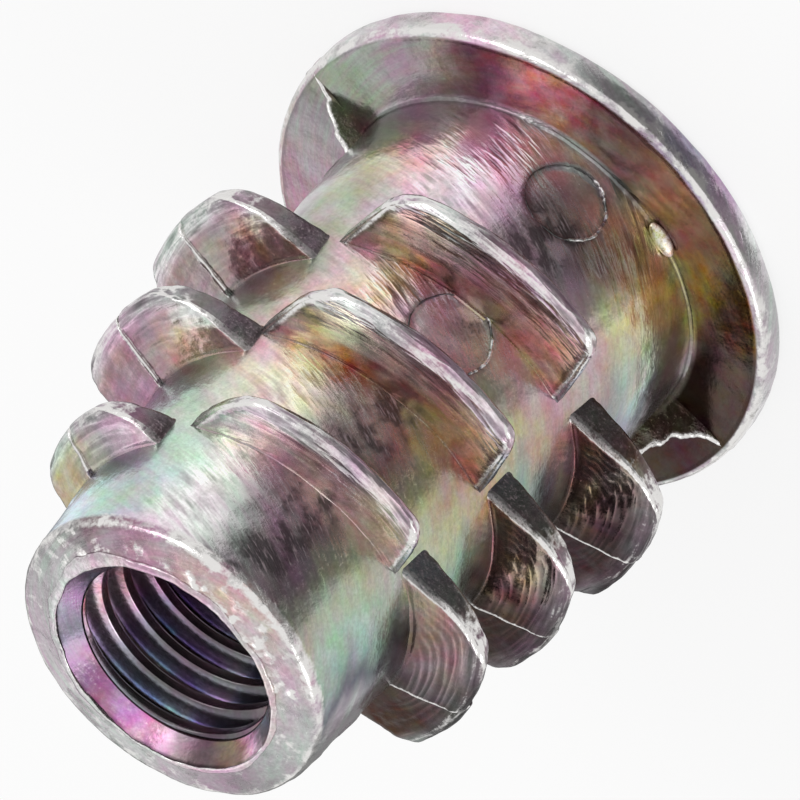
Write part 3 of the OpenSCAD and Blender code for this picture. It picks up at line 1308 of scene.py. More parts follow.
@dataclass
class PinFlash:
    """The thin, broken flash that stands up round the print of an ejector pin."""

    casting: Casting
    name: str
    height: float
    seed: int
    thickness: float = 0.065
    around: int = 200
    sides: int = 10
    finish: ChromateFilm = field(default_factory=lambda: ChromateFilm("pin_flash_film", grit=0.5))

    def build(self) -> bpy.types.Object:
        """Builds the flash as a closed ring that dips into the wall where the edge is clean.

        Returns:
            The piece.
        """
        casting = self.casting
        angle = full_circle(self.around)
        seeds = around_bore(casting.pin_r, angle, self.seed)
        reach = casting.pin_r + 0.035 * cast_skin(seeds, 0.5, seed=212)
        strong = 0.15 + 0.85 * ease(-0.1, 0.8, -np.cos(angle) - 0.35 * np.sin(angle))
        tall = np.clip(strong * (0.7 + 0.8 * cast_skin(seeds, 0.3, seed=211)), 0.05, 1)[:, None]
        thick = self.thickness * (0.45 + 0.55 * tall)
        turn = full_circle(self.sides)
        outward = thick * np.sin(turn) * 1.3 + (tall - 0.55) * 0.1
        sideways = reach[:, None] + thick * np.cos(turn)
        height = self.height + sideways * np.sin(angle)[:, None]
        swung = sideways * np.cos(angle)[:, None] / casting.body_r(self.height)
        distance = casting.body_r(height) + outward
        rings = around_bore(distance, np.radians(casting.pin_bearing) + swung, height)
        mesh = tube_mesh(rings, closed=True)
        points, _ = mesh_arrays(mesh)
        shown = np.repeat(ease(0.35, 0.8, tall), self.sides)
        tint = Hue.ASH.linear() * (0.2 + 0.4 * shown[:, None])
        Coat(tint=tint, strand=points, wear_and_highlight=0.5 * shown).put_on(mesh)
        return new_piece(self.name, mesh, self.finish.material())


@dataclass
class Nick:
    """A pale drop of metal in the corner between neck and flange."""

    casting: Casting
    bearing: float = 243.5
    half_turn: float = 5.8
    half_width: float = 0.26
    half_height: float = 0.13
    off_corner: float = 0.16
    rows: int = 33
    around: int = 20
    finish: ChromateFilm = field(default_factory=lambda: ChromateFilm("nick_film", grit=0.3, roughness=0.3))

    def build(self) -> bpy.types.Object:
        """Builds the drop as a lens that leans into the corner.

        Returns:
            The piece.
        """
        casting = self.casting
        share = np.linspace(-1, 1, self.rows)[:, None]
        full = np.sqrt(np.clip(1 - share**2, 1e-5, 1))
        turn = full_circle(self.around)
        flat, proud = self.half_width * np.cos(turn) * full, self.half_height * np.sin(turn) * full
        reach = casting.neck_r + self.off_corner + (flat + proud) * math.sqrt(0.5)
        height = casting.flange_t + self.off_corner + (proud - flat) * math.sqrt(0.5)
        rings = around_bore(reach, np.radians(self.bearing + share * self.half_turn), height)
        mesh = tube_mesh(rings, closed=False)
        close_ends(mesh, self.around)
        points, _ = mesh_arrays(mesh)
        Coat(tint=np.tile(Hue.STRAW.linear(), (len(points), 1)), strand=points, wear_and_highlight=0.45).put_on(mesh)
        return new_piece("corner_nick", mesh, self.finish.material())


# ---------------------------------------------------------------- the coarse thread's lugs


class Column(Enum):
    """The four columns of lugs, by bearing, in the order in which the thread climbs."""

    RIGHT = 180
    PINNED = 270
    LEFT = 0
    HIDDEN = 90


@dataclass(frozen=True)
class LugEnd:
    """One end of a lug: how far it reaches, and how it is rounded."""

    crest: float
    root: float
    crest_round: float = 0.7
    edge_round: float = 0.3
    foot: float = 0.3


@dataclass(frozen=True)
class Lug:
    """A lug, or the part of one that lies in one half of the die."""

    column: Column
    row: int
    height: float
    rise: float
    left: LugEnd
    right: LugEnd
    turn: float = 0.0
    lean: float = 0.0
    over_thin: float = 0.4
    under_thin: float = 0.2
    over_grow: float = 0.0

    def values(self) -> dict[str, float]:
        """The lug's sizes for the node tree.

        Returns:
            Metres and radians, by the names that the tree reads.
        """
        sizes = {
            "bearing": math.radians(self.column.value + self.turn), "height": self.height * MM,
            "rise": self.rise * MM, "lean": self.lean, "row": float(self.row),
            "over_thin": self.over_thin, "under_thin": self.under_thin, "over_grow": self.over_grow * MM,
        }
        for side, end in (("left", self.left), ("right", self.right)):
            sizes |= {
                f"{side}_crest": end.crest * MM, f"{side}_root": end.root * MM,
                f"{side}_round": end.crest_round * MM, f"{side}_edge": end.edge_round * MM,
                f"{side}_foot": end.foot,
            }
        return sizes


@dataclass
class LugThread:
    """The coarse outer thread, broken into four columns of three lugs."""

    casting: Casting
    first_height: float = 7.5
    pitch: float = 4.5
    rows: int = 3
    thread_r: float = 9.2
    thread_tip_r: float = 7.7
    lead_in_drop: float = 0.18
    lead_in_lugs: int = 3
    pin_half: float = 3.8
    far_half: float = 2.8
    draft: float = 0.4
    half_step: float = 0.2
    half_grow: float = 0.13
    half_turn: float = 2.0
    parted_slant: float = 0.5
    lean: float = 0.04
    nose_reach: float = 0.15
    half_reach: float = 0.04
    skin_room: float = 0.06
    nose_len: float = 0.7
    nose_t: float = 1.05
    root_t: float = 1.6
    fillet: float = 0.12
    skirt: float = 0.2
    around: int = 180
    along: int = 52
    finish: ChromateFilm = field(default_factory=lambda: ChromateFilm("lug_film", fibre=0.8))

    RISES = {Column.RIGHT: 0.0, Column.PINNED: 0.95, Column.LEFT: 1.75, Column.HIDDEN: 2.85}
    # Shares of a sheet's rings at which nose, flank, foot and skirt end, and shares of a ring's
    # points on each of its long and short sides.
    NOSE, FLANK, FOOT, SKIRT = (ring / 52 for ring in (14, 42, 47, 50))
    LONG_SIDE, SHORT_SIDE = 70 / 180, 20 / 180

    def _climb(self) -> Iterator[tuple[Column, int, float]]:
        """Column, row and height of every lug, from the flange up."""
        for row in range(self.rows):
            for column, rise in self.RISES.items():
                yield column, row, self.first_height + rise + self.pitch * row

    def _share(self, height: float) -> float:
        """Share of its full rise that a lug has.

        Args:
            height: the lug's height.

        Returns:
            1, or less for the last few lugs, which lead in at the open end.
        """
        heights = [height for *_, height in self._climb()]
        from_top = len(heights) - 1 - heights.index(height)
        return (1 - self.lead_in_drop) ** max(0, self.lead_in_lugs - from_top)

    def _rise(self, height: float, share: float) -> float:
        """How far a lug's crest stands above the body.

        Args:
            height: the lug's height.
            share: its share of the full rise.

        Returns:
            Millimetres.
        """
        span = self.RISES[Column.HIDDEN] + self.pitch * (self.rows - 1)
        crest = self.thread_r + (self.thread_tip_r - self.thread_r) * (height - self.first_height) / span
        return (crest - float(self.casting.body_r(height))) * share

    def _whole(self, column: Column, row: int, height: float, half: float) -> Lug:
        """A lug that lies wholly in one half of the die.

        Args:
            column: the column that it is in.
            row: its turn of the thread.
            height: its middle's height.
            half: half its length.

        Returns:
            The lug.
        """
        share = self._share(height)
        reach = half * math.sqrt(share)
        crest = reach + self.nose_reach
        nose = LugEnd(crest, reach + self.draft * 1.9, crest_round=1.0, edge_round=0.45)
        end = LugEnd(crest, reach + self.draft * 0.6, crest_round=0.6, edge_round=0.5)
        turn = self.half_turn if column is Column.PINNED else 0.0
        rise = self._rise(height, share)
        return Lug(column, row, height, rise, nose, end, turn, self.lean, over_grow=-self.draft * 0.75)

    def _halves(self, column: Column, row: int, height: float) -> tuple[Lug, Lug]:
        """Splits a lug that the parting plane crosses.

        Args:
            column: the column that it is in.
            row: its turn of the thread.
            height: its middle's height.

        Returns:
            The part in the pins' half of the die, and the part in the other.
        """
        share = self._share(height)
        side = 1 if column is Column.RIGHT else -1
        shift = side * self.half_turn * 0.16
        scale = math.sqrt(share)
        reach = (self.pin_half + shift) * scale
        near = LugEnd(reach, reach + self.draft * scale, crest_round=1.35 * scale, edge_round=0.26)
        far = LugEnd(self.far_half * scale, (self.far_half + self.draft) * scale)
        rise = self._rise(height, share)
        slant = (self.parted_slant + side * 0.12) * scale
        short, long = (
            LugEnd(self.half_reach + part, self.half_reach, crest_round=0.03, edge_round=0.09, foot=0.0)
            for part in (-slant, slant)
        )
        ends = ((near, short), (long, far)) if side > 0 else ((short, near), (far, long))
        step = self.half_step / 2 if side > 0 else -self.half_step / 4
        grow = self.half_grow if side > 0 else 0.0
        pinned = Lug(
            column, row, height + step, rise, *ends[0], over_thin=0.45, under_thin=0.0, over_grow=grow
        )
        other = Lug(
            column, row, height - step, rise, *ends[1], over_thin=0.3, under_thin=0.1, over_grow=-grow
        )
        return pinned, other

    def lugs(self) -> tuple[list[Lug], list[Lug]]:
        """Lays out the lugs.

        Returns:
            Those of the pins' half of the die, and those of the other half.
        """
        pinned: list[Lug] = []
        other: list[Lug] = []
        for column, row, height in self._climb():
            if column is Column.PINNED:
                pinned.append(self._whole(column, row, height, self.pin_half))
            elif column is Column.HIDDEN:
                other.append(self._whole(column, row, height, self.far_half))
            else:
                near, far = self._halves(column, row, height)
                pinned.append(near)
                other.append(far)
        return pinned, other

    @staticmethod
    def _seeds(lugs: Iterable[Lug]) -> bpy.types.Mesh:
        """A mesh of loose points, one for each lug, that carry the lugs' sizes.

        Args:
            lugs: the lugs.

        Returns:
            The mesh.
        """
        rows = [lug.values() for lug in lugs]
        mesh = bpy.data.meshes.new("lug_seeds")
        mesh.from_pydata([(0, 0, 0)] * len(rows), [], [])
        for name in rows[0]:
            write_value(mesh, name, np.array([row[name] for row in rows]))
        return mesh

    def tree(self, inputs: dict[str, object]) -> bpy.types.NodeTree:
        """Builds the node tree that turns seed points into lugs.

        Args:
            inputs: the sizes that all lugs share, by the names that they have in the tree.

        Returns:
            The tree.
        """
        graph, size = open_tree("coarse_thread_lugs", "Seeds", inputs, "Lugs")
        counts = {"Vertices X": size["Rings"], "Vertices Y": size["Points Around"]}
        sheet = graph.field("GeometryNodeMeshGrid", {"Size X": 1.0, "Size Y": 1.0} | counts)
        along, around, _ = graph.position()
        marked = self._store(graph, sheet, "along", along + 0.5)
        marked = self._store(graph, marked, "around", around + 0.5)
        seeds = graph.field("GeometryNodeMeshToPoints", {"Mesh": size["Seeds"]})
        copies = graph.field("GeometryNodeInstanceOnPoints", {"Points": seeds, "Instance": marked})
        shaped = graph.field("GeometryNodeRealizeInstances", {"Geometry": copies})
        position, marks = self._shape(graph, size)
        for name, value in marks.items():
            shaped = self._store(graph, shaped, name, value)
        shaped = graph.field("GeometryNodeSetPosition", {"Geometry": shaped, "Position": position})
        welded = graph.field("GeometryNodeMergeByDistance", {"Geometry": shaped, "Distance": 0.0005 * MM})
        return close_tree(graph, welded, size["Finish"], "Lugs")

    @staticmethod
    def _store(graph: Graph, mesh: Field, name: str, value: Field) -> Field:
        """Stores a number on each point of a mesh, and returns the mesh."""
        values = {"Geometry": mesh, "Name": name, "Value": value}
        return graph.field("GeometryNodeStoreNamedAttribute", values, data_type="FLOAT", domain="POINT")

    def _shape(self, graph: Graph, size: dict[str, Field]) -> tuple[Field, dict[str, Field]]:
        """Places each point of a lug's sheet.

        The sheet's rings run from the crest over nose, flank and fillet to a skirt inside the
        body. Each ring is a rounded rectangle, which closes to a line at the crest and below.

        Args:
            graph: the tree.
            size: the tree's inputs.

        Returns:
            The position, and the numbers that the finish reads.
        """

        def own(name: str) -> Field:
            """One of the lug's own sizes."""
            return graph.field("GeometryNodeInputNamedAttribute", {"Name": name}, data_type="FLOAT")

        quarter = math.pi / 2
        along, around = own("along"), own("around")
        nose = along.between(0.0, self.NOSE)
        flank = along.between(self.NOSE, self.FLANK)
        foot = along.between(self.FLANK, self.FOOT) * quarter
        skirt = along.between(self.FOOT, self.SKIRT)
        closing = 1.0 - along.between(self.SKIRT, 1.0)
        rise = own("rise")
        fillet = size["Fillet"]
        flare = (1.0 - foot.math("COSINE")) * fillet
        depth = (1.0 - (nose * quarter).math("COSINE")) * size["Nose Length"]
        depth = depth + flank * (rise - size["Nose Length"] - fillet)
        depth = depth + foot.math("SINE") * fillet + skirt * size["Skirt"]
        half = (nose * quarter).math("SINE") * size["Nose Thickness"] * 0.5
        half = half + flank * (size["Root Thickness"] - size["Nose Thickness"]) * 0.5 + flare
        half = half * closing

        corners = np.cumsum((0, self.LONG_SIDE, self.SHORT_SIDE, self.LONG_SIDE)).tolist() + [1.0]
        there, down, back, up = (around.between(*ends) * 2 for ends in zip(corners, corners[1:]))
        across = self._eased(there - back - 1.0, 0.35)
        over = self._eased(up - down + 1.0, 0.3)
        is_left = across.math("GREATER_THAN", 0.0)
        left = self._end_reach("left", own, depth / rise, depth, flare)
        right = self._end_reach("right", own, depth / rise, depth, flare)
        edge = is_left.mix(own("right_edge"), own("left_edge")).least(half * 0.95)
        wide = (left + right) * 0.5
        aside, lift = self._rounded(across * wide, over * half, wide, half, edge)
        aside = aside + (left - right) * 0.5
        ramp = (aside.math("ABSOLUTE") / left.most(right)).least(1.0).math("POWER", 1.6) * 0.7 + 0.3
        thin = over.math("GREATER_THAN", 0.0).mix(own("under_thin"), own("over_thin"))
        grow = own("over_grow") * over.most(0.0) * (depth / rise).least(1.0) * closing
        lift = lift * (1.0 - thin * ramp) + grow

        height = own("height") + lift + aside * own("lean")
        taper = height.between(size["Taper Start"], size["Taper End"])
        above = rise - depth
        radius = taper.mix(size["Neck Radius"], size["Tip Radius"]) + above
        out = (radius * radius - aside * aside).math("SQRT")
        bearing = own("bearing")
        sine, cosine = bearing.math("SINE"), bearing.math("COSINE")
        position = graph.join(out * cosine - aside * sine, out * sine + aside * cosine, height)
        return position, {"above": above, "over": over, "across": across, "aside": aside}

    @staticmethod
    def _eased(value: Field, pull: float) -> Field:
        """Moves even steps from -1 to 1 closer together near the ends."""
        return value * (1.0 + pull - value * value * pull)

    @staticmethod
    def _end_reach(
        side: str, own: Callable[[str], Field], share: Field, depth: Field, flare: Field
    ) -> Field:
        """How far one end of a lug reaches at a depth below its crest.

        Args:
            side: left or right.
            own: reads one of the lug's own sizes.
            share: depth as a share of the rise.
            depth: depth below the crest.
            flare: how far the fillet flares.

        Returns:
            The reach from the middle.
        """
        curve = own(f"{side}_round")
        short = 1.0 - (depth / curve).least(1.0)
        inset = curve * (1.0 - (1.0 - short * short).most(0.0).math("SQRT"))
        reach = share.least(1.0).mix(own(f"{side}_crest"), own(f"{side}_root"))
        return reach + flare * own(f"{side}_foot") - inset

    @staticmethod
    def _rounded(aside: Field, lift: Field, wide: Field, half: Field, edge: Field) -> tuple[Field, Field]:
        """Rounds the corners of a rectangle that a point lies on.

        Args:
            aside: the point's place along the rectangle.
            lift: its place across.
            wide: half the length.
            half: half the width.
            edge: the rounding.

        Returns:
            The point's places after rounding.
        """
        far, high = aside.math("ABSOLUTE"), lift.math("ABSOLUTE")
        past_side, past_top = (far - (wide - edge)).most(0.0), (high - (half - edge)).most(0.0)
        reach = (past_side * past_side + past_top * past_top).math("SQRT").most(edge + 1e-9)
        pull = edge / reach
        side = (far.least(wide - edge) + past_side * pull) * aside.math("SIGN")
        top = (high.least(half - edge) + past_top * pull) * lift.math("SIGN")
        return side, top

    def _inputs(self) -> dict[str, object]:
        """Values for the tree's inputs.

        Returns:
            Metres and counts, by the names that the tree gives its inputs.
        """
        return {
            "Nose Length": self.nose_len * MM, "Nose Thickness": self.nose_t * MM,
            "Root Thickness": self.root_t * MM, "Fillet": self.fillet * MM, "Skirt": self.skirt * MM,
            "Neck Radius": self.casting.neck_r * MM, "Tip Radius": self.casting.tip_r * MM,
            "Taper Start": self.casting.taper_start * MM, "Taper End": self.casting.taper_end * MM,
            "Rings": self.along + 1, "Points Around": self.around + 1, "Finish": self.finish.material(),
        }

    def _dress(self, mesh: bpy.types.Mesh, seed: int) -> None:
        """Roughens the lugs and coats them.

        Args:
            mesh: the lugs, which carry the tree's marks.
            seed: picks the roughness.
        """
        points, normals = mesh_arrays(mesh)
        mark = {name: read_value(mesh, name) for name in ("over", "across", "row")}
        mark |= {
            name: read_value(mesh, name) / MM
            for name in ("above", "rise", "aside", "left_crest", "right_crest")
        }
        spent = [layer.name for layer in mesh.attributes if layer.data_type == "FLOAT"]
        for name in spent:
            mesh.attributes.remove(mesh.attributes[name])
        above, rise, aside = mark["above"], mark["rise"], mark["aside"]
        strand = np.stack((aside * 0.13 + points[:, 0] * 0.02, above, points[:, 2]), axis=1)
        pinned = facing(bearing_of(points), Column.PINNED.value, 50)
        crest = ease(0.66 - 0.12 * pinned, 0.93 - 0.1 * pinned, above / rise)
        exposed = ease(0.0, 0.2, above)
        relief = cast_skin(points, 1.5, seed) * 0.026
        relief += cast_skin(points, 0.45, seed + 5, octaves=2) * 0.009
        relief += cast_skin(strand, 0.3, seed + 9, octaves=2) * (0.014 + 0.03 * crest)
        inside = reach_of(points) <= self.thread_r - self.skin_room
        relief = np.minimum(relief, 0.05 * inside) * exposed - 0.04 * (1 - exposed) - 0.02 * ~inside
        move_points(mesh, points + normals * relief[:, None])
        self._coat(points, strand, crest, mark).put_on(mesh)

    @staticmethod
    def _coat(
        points: np.ndarray, strand: np.ndarray, crest: np.ndarray, mark: dict[str, np.ndarray]
    ) -> Coat:
        """The film's marks on the lugs' crests, flanks and ends, among them painted highlights on edges and
        painted shade at the feet and ends.

        Args:
            points: places in millimetres.
            strand: the same places, drawn out along the lugs.
            crest: 1 on a lug's crest, 0 on its flanks.
            mark: what the tree stored on each point.

        Returns:
            The coat.
        """
        above, rise, aside, across = (mark[name] for name in ("above", "rise", "aside", "across"))
        bearing = (bearing_of(points) + cast_skin(points, 1.6, seed=111) * 5) % 360
        last = ease(1.3, 1.7, mark["row"])[:, None]
        high = ease(0.3, 0.55, above / rise + 0.25 * cast_skin(strand, 0.8, seed=112))[:, None]
        flank = LUG_FEET.at(bearing) * (1 - high) + LUG_FLANKS.at(bearing) * high
        flank = flank * (1 - last) + LAST_FLANKS.at(bearing) * last
        ended = ease(0.94, 0.99, np.abs(across))[:, None]
        colours = flank * (1 - ended) + LUG_ENDS.at(bearing) * ended
        colours = colours * (1 - crest[:, None]) + LUG_CRESTS.at(bearing) * crest[:, None]
        whole = np.where(aside > 0, mark["left_crest"], mark["right_crest"])
        parted = whole < 1.0
        end_gap = np.where(parted, 9.0, whole + 0.35 - np.abs(aside))
        depth = rise - above
        gap = 1 / np.sqrt(1 / np.maximum(depth, 0.02) ** 2 + 1 / np.maximum(end_gap, 0.02) ** 2)
        near = facing(bearing, 194, 22) + 0.2 * facing(bearing, 345, 22)
        pinned = facing(bearing, Column.PINNED.value, 50)
        tip_side = mark["over"] > 0
        high_edge = ease(0.3, 0.8, above / rise) * (0.3 + 0.5 * cast_skin(points, 0.4, seed=125))
        corner = bell(np.abs(across) - 0.97, 0.045) * (mark["over"] > 0.5)
        parting = parted & tip_side & (np.abs(across) > 0.985) & (above > 0.2)
        end_face = ended[:, 0] * ~parted
        # Wear on the crests, and painted highlights along the crests, the rounded end edges, the parting
        # line and the high edges of the end faces.
        wear_and_highlight = ease(0.8, 1.0, crest) * (0.3 - 0.08 * pinned) + corner * np.where(parted, 0.45, 0.7)
        wear_and_highlight += parting * 0.4 + end_face * high_edge
        wear_and_highlight += (0.35 - 0.05 * pinned) * cast_skin(strand, 0.5, seed=121) * crest
        # Painted shade at the lugs' feet and low on their end faces, and random soot on the pinned flanks.
        soot_and_shade = 0.3 * bell(above, 0.14) + 0.6 * end_face * bell(above / rise - 0.2, 0.25)
        soot_and_shade += 0.25 * cast_skin(strand, 0.9, seed=131) * (1 - crest) * pinned
        return Coat(
            tint=colours, strand=strand, wear_and_highlight=wear_and_highlight, soot_and_shade=soot_and_shade,
            crinkle_and_glint=0.6 * crest + 0.35 * bell(above / rise - 0.55, 0.16) * pinned,
            ripple=near * tip_side * (1 - crest) * ease(0.2, 0.5, above) * 0.9,
            gap=gap,
        )

    def build(self) -> list[bpy.types.Object]:
        """Builds the lugs of both halves of the die.

        Returns:
            One piece for each half.
        """
        inputs = self._inputs()
        tree = self.tree(inputs)
        pieces = []
        for name, lugs, seed in zip(("lugs_pin_half", "lugs_far_half"), self.lugs(), (141, 151)):
            mesh = run_modifier(self._seeds(lugs), tree, inputs)
            clean(mesh)
            face_outwards(mesh)
            self._dress(mesh, seed)
            pieces.append(new_piece(name, mesh))
        return pieces


# Film colours of the lugs by bearing. The strengths also carry painted light and shade: lighter where a side
# catches a highlight, near black where it shows a dark reflection or lies in shade.
LUG_FEET = Sweep((
    (8, Hue.PEARL, 0.45), (60, Hue.ROSE, 0.8), (120, Hue.SAGE, 0.7), (168, Hue.CLAY, 0.06),
    (180, Hue.FAWN, 0.05), (190, Hue.FAWN, 0.14), (202, Hue.FAWN, 0.8), (240, Hue.FAWN, 0.7),
    (256, Hue.STRAW, 0.85), (270, Hue.FAWN, 1.15), (279, Hue.FAWN, 0.55), (288, Hue.COPPER, 0.5),
    (300, Hue.FAWN, 0.4), (330, Hue.BLUSH, 0.7), (340, Hue.FAWN, 0.85), (352, Hue.BLUSH, 0.3),
))
LUG_FLANKS = Sweep((
    (8, Hue.BLUSH, 0.38), (60, Hue.ROSE, 0.8), (120, Hue.SAGE, 0.7), (168, Hue.CLAY, 0.06),
    (180, Hue.FAWN, 0.05), (190, Hue.ROSE, 0.06), (202, Hue.BLUSH, 0.3), (240, Hue.BLUSH, 0.7),
    (252, Hue.FAWN, 1), (264, Hue.BLUSH, 0.9), (276, Hue.BLUSH, 0.65), (288, Hue.ASH, 0.6),
    (300, Hue.STRAW, 0.4), (330, Hue.ASH, 1.4), (340, Hue.BLUSH, 0.42), (352, Hue.PEARL, 0.32),
))
LAST_FLANKS = Sweep((
    (8, Hue.KHAKI, 1.1), (60, Hue.ROSE, 0.8), (120, Hue.SAGE, 0.8), (160, Hue.COPPER, 0.1),
    (172, Hue.COPPER, 0.08), (188, Hue.PEARL, 0.1), (200, Hue.BLUSH, 0.2), (210, Hue.FAWN, 0.4),
    (240, Hue.BLUSH, 0.7), (258, Hue.BLUSH, 1), (270, Hue.BLUSH, 1.25), (282, Hue.BLUSH, 0.7),
    (294, Hue.PEARL, 0.6), (330, Hue.PEARL, 1), (345, Hue.ASH, 0.6),
))
LUG_CRESTS = Sweep((
    (8, Hue.ASH, 1.2), (90, Hue.ASH, 1), (160, Hue.ASH, 0.5), (172, Hue.PEARL, 0.08),
    (182, Hue.PEARL, 0.1), (192, Hue.PEARL, 0.18), (204, Hue.PEARL, 0.28), (240, Hue.PEARL, 0.7),
    (256, Hue.PEARL, 0.9), (270, Hue.PEARL, 0.8), (282, Hue.ASH, 0.75), (294, Hue.ASH, 1.3),
    (336, Hue.ASH, 0.8), (348, Hue.ASH, 0.65),
))
LUG_ENDS = Sweep((
    (0, Hue.ASH, 0.6), (90, Hue.SAGE, 1), (180, Hue.ASH, 0.2), (210, Hue.FAWN, 0.25),
    (225, Hue.ASH, 0.35), (240, Hue.ICE, 0.7), (290, Hue.SAGE, 0.9), (305, Hue.SAGE, 1),
    (325, Hue.PEARL, 0.3), (345, Hue.PEARL, 0.3),
))


# ---------------------------------------------------------------- the fine thread


@dataclass
class FineThread:
    """The machine thread in the bore: one ridge that climbs the wall as a right-hand helix."""

    casting: Casting
    pitch: float = 1.25
    crest_r: float = 3.34
    base_r: float = 4.12
    crest_w: float = 0.34
    base_w: float = 1.2
    edge_round: float = 0.1
    start: float = 6.95
    turns: float = 12.1
    start_turn: float = 40.0
    cone_slope: float = 0.65
    clearance: float = 0.04
    steps: int = 90
    finish: ChromateFilm = field(
        default_factory=lambda: ChromateFilm("thread_film", roughness=0.18, grit=0.15, rough_spread=0.08)
    )

    def tree(self, inputs: dict[str, object]) -> bpy.types.NodeTree:
        """Builds the node tree that sweeps the ridge's section along the helix.

        Args:
            inputs: the thread's sizes, by the names that they have in the tree.

        Returns:
            The tree.
        """
        graph, size = open_tree("fine_thread", "Geometry", inputs, "Thread")
        helix = graph.field(
            "GeometryNodeCurveSpiral",
            {
                "Resolution": size["Steps"], "Rotations": size["Turns"],
                "Start Radius": size["Base Radius"], "End Radius": size["Base Radius"],
                "Height": size["Pitch"] * size["Turns"], "Reverse": False,
            },
        )
        upright = graph.field("GeometryNodeSetCurveNormal", {"Curve": helix}, mode="Z_UP")
        depth = size["Base Radius"] - size["Crest Radius"]
        corners = (
            (0.0, size["Base Width"] * -0.5), (0.0, size["Base Width"] * 0.5),
            (depth, size["Crest Width"] * 0.5), (depth, size["Crest Width"] * -0.5),
        )
        points = {f"Point {k + 1}": graph.join(*corner) for k, corner in enumerate(corners)}
        section = graph.add("GeometryNodeCurvePrimitiveQuadrilateral", mode="POINTS")
        for name, point in points.items():
            graph.feed(graph.pick(section.inputs, name), point)
        soft = graph.field(
            "GeometryNodeFilletCurve",
            {"Curve": section.outputs[0], "Count": 3, "Radius": size["Edge Round"], "Limit Radius": True},
            mode="POLY",
        )
        swept = graph.field(
            "GeometryNodeCurveToMesh", {"Curve": upright, "Profile Curve": soft, "Fill Caps": True}
        )
        x, y, z = graph.position()
        height = z + size["Start Height"]
        reach = (x * x + y * y).math("SQRT")
        kept = reach.most((height - size["Cone Foot"]) * size["Cone Slope"] + size["Cone Radius"])
        grow = kept / reach
        sine, cosine = size["Start Turn"].math("SINE"), size["Start Turn"].math("COSINE")
        position = graph.join((x * cosine - y * sine) * grow, (x * sine + y * cosine) * grow, height)
        trimmed = graph.field("GeometryNodeSetPosition", {"Geometry": swept, "Position": position})
        return close_tree(graph, trimmed, size["Finish"], "Thread")

    def build(self) -> bpy.types.Object:
        """Builds the thread and gives it its finish.

        Returns:
            The piece.
        """
        casting = self.casting
        inputs = {
            "Pitch": self.pitch * MM, "Turns": self.turns, "Crest Radius": self.crest_r * MM,
            "Base Radius": self.base_r * MM, "Crest Width": self.crest_w * MM,
            "Base Width": self.base_w * MM, "Edge Round": self.edge_round * MM,
            "Start Height": self.start * MM, "Start Turn": math.radians(self.start_turn),
            "Cone Foot": (casting.length - casting.sink_depth) * MM,
            "Cone Radius": (casting.core_r + self.clearance) * MM, "Cone Slope": self.cone_slope,
            "Steps": self.steps, "Finish": self.finish.material(),
        }
        mesh = run_modifier(bpy.data.meshes.new("empty"), self.tree(inputs), inputs)
        points, _ = mesh_arrays(mesh)
        bearing = (bearing_of(points) + cast_skin(points, 1.5, seed=161) * 12) % 360
        reach = reach_of(points)[:, None]
        crest = 1 - ease(self.crest_r + 0.04, self.crest_r + 0.14, reach)
        flank = THREAD_FLANKS.at(bearing) * (1 + ease(3.6, 3.9, reach))
        tint = flank * (1 - crest) + THREAD_CRESTS.at(bearing) * crest
        Coat(tint=tint, strand=points * 0.7).put_on(mesh)
        return new_piece("fine_thread", mesh)


# Film colours of the fine thread by bearing; the strengths also paint its glints near bearings 0 to 30 and
# 90 to 112, and shade elsewhere.
THREAD_FLANKS = Sweep((
    (0, Hue.PEARL, 1), (30, Hue.PEARL, 0.9), (60, Hue.LILAC, 0.7), (90, Hue.ICE, 0.7),
    (112, Hue.ICE, 0.9), (130, Hue.ICE, 0.35), (145, Hue.ICE, 0.12), (180, Hue.ROSE, 0.3),
    (280, Hue.ASH, 0.5),
))
THREAD_CRESTS = Sweep((
    (0, Hue.PEARL, 1.5), (30, Hue.ROSE, 1.8), (60, Hue.LILAC, 0.9), (90, Hue.ASH, 0.35),
    (120, Hue.ASH, 0.2), (150, Hue.ASH, 0.3), (180, Hue.ROSE, 0.5), (280, Hue.ASH, 0.5),
))


# ---------------------------------------------------------------- flash in the corners


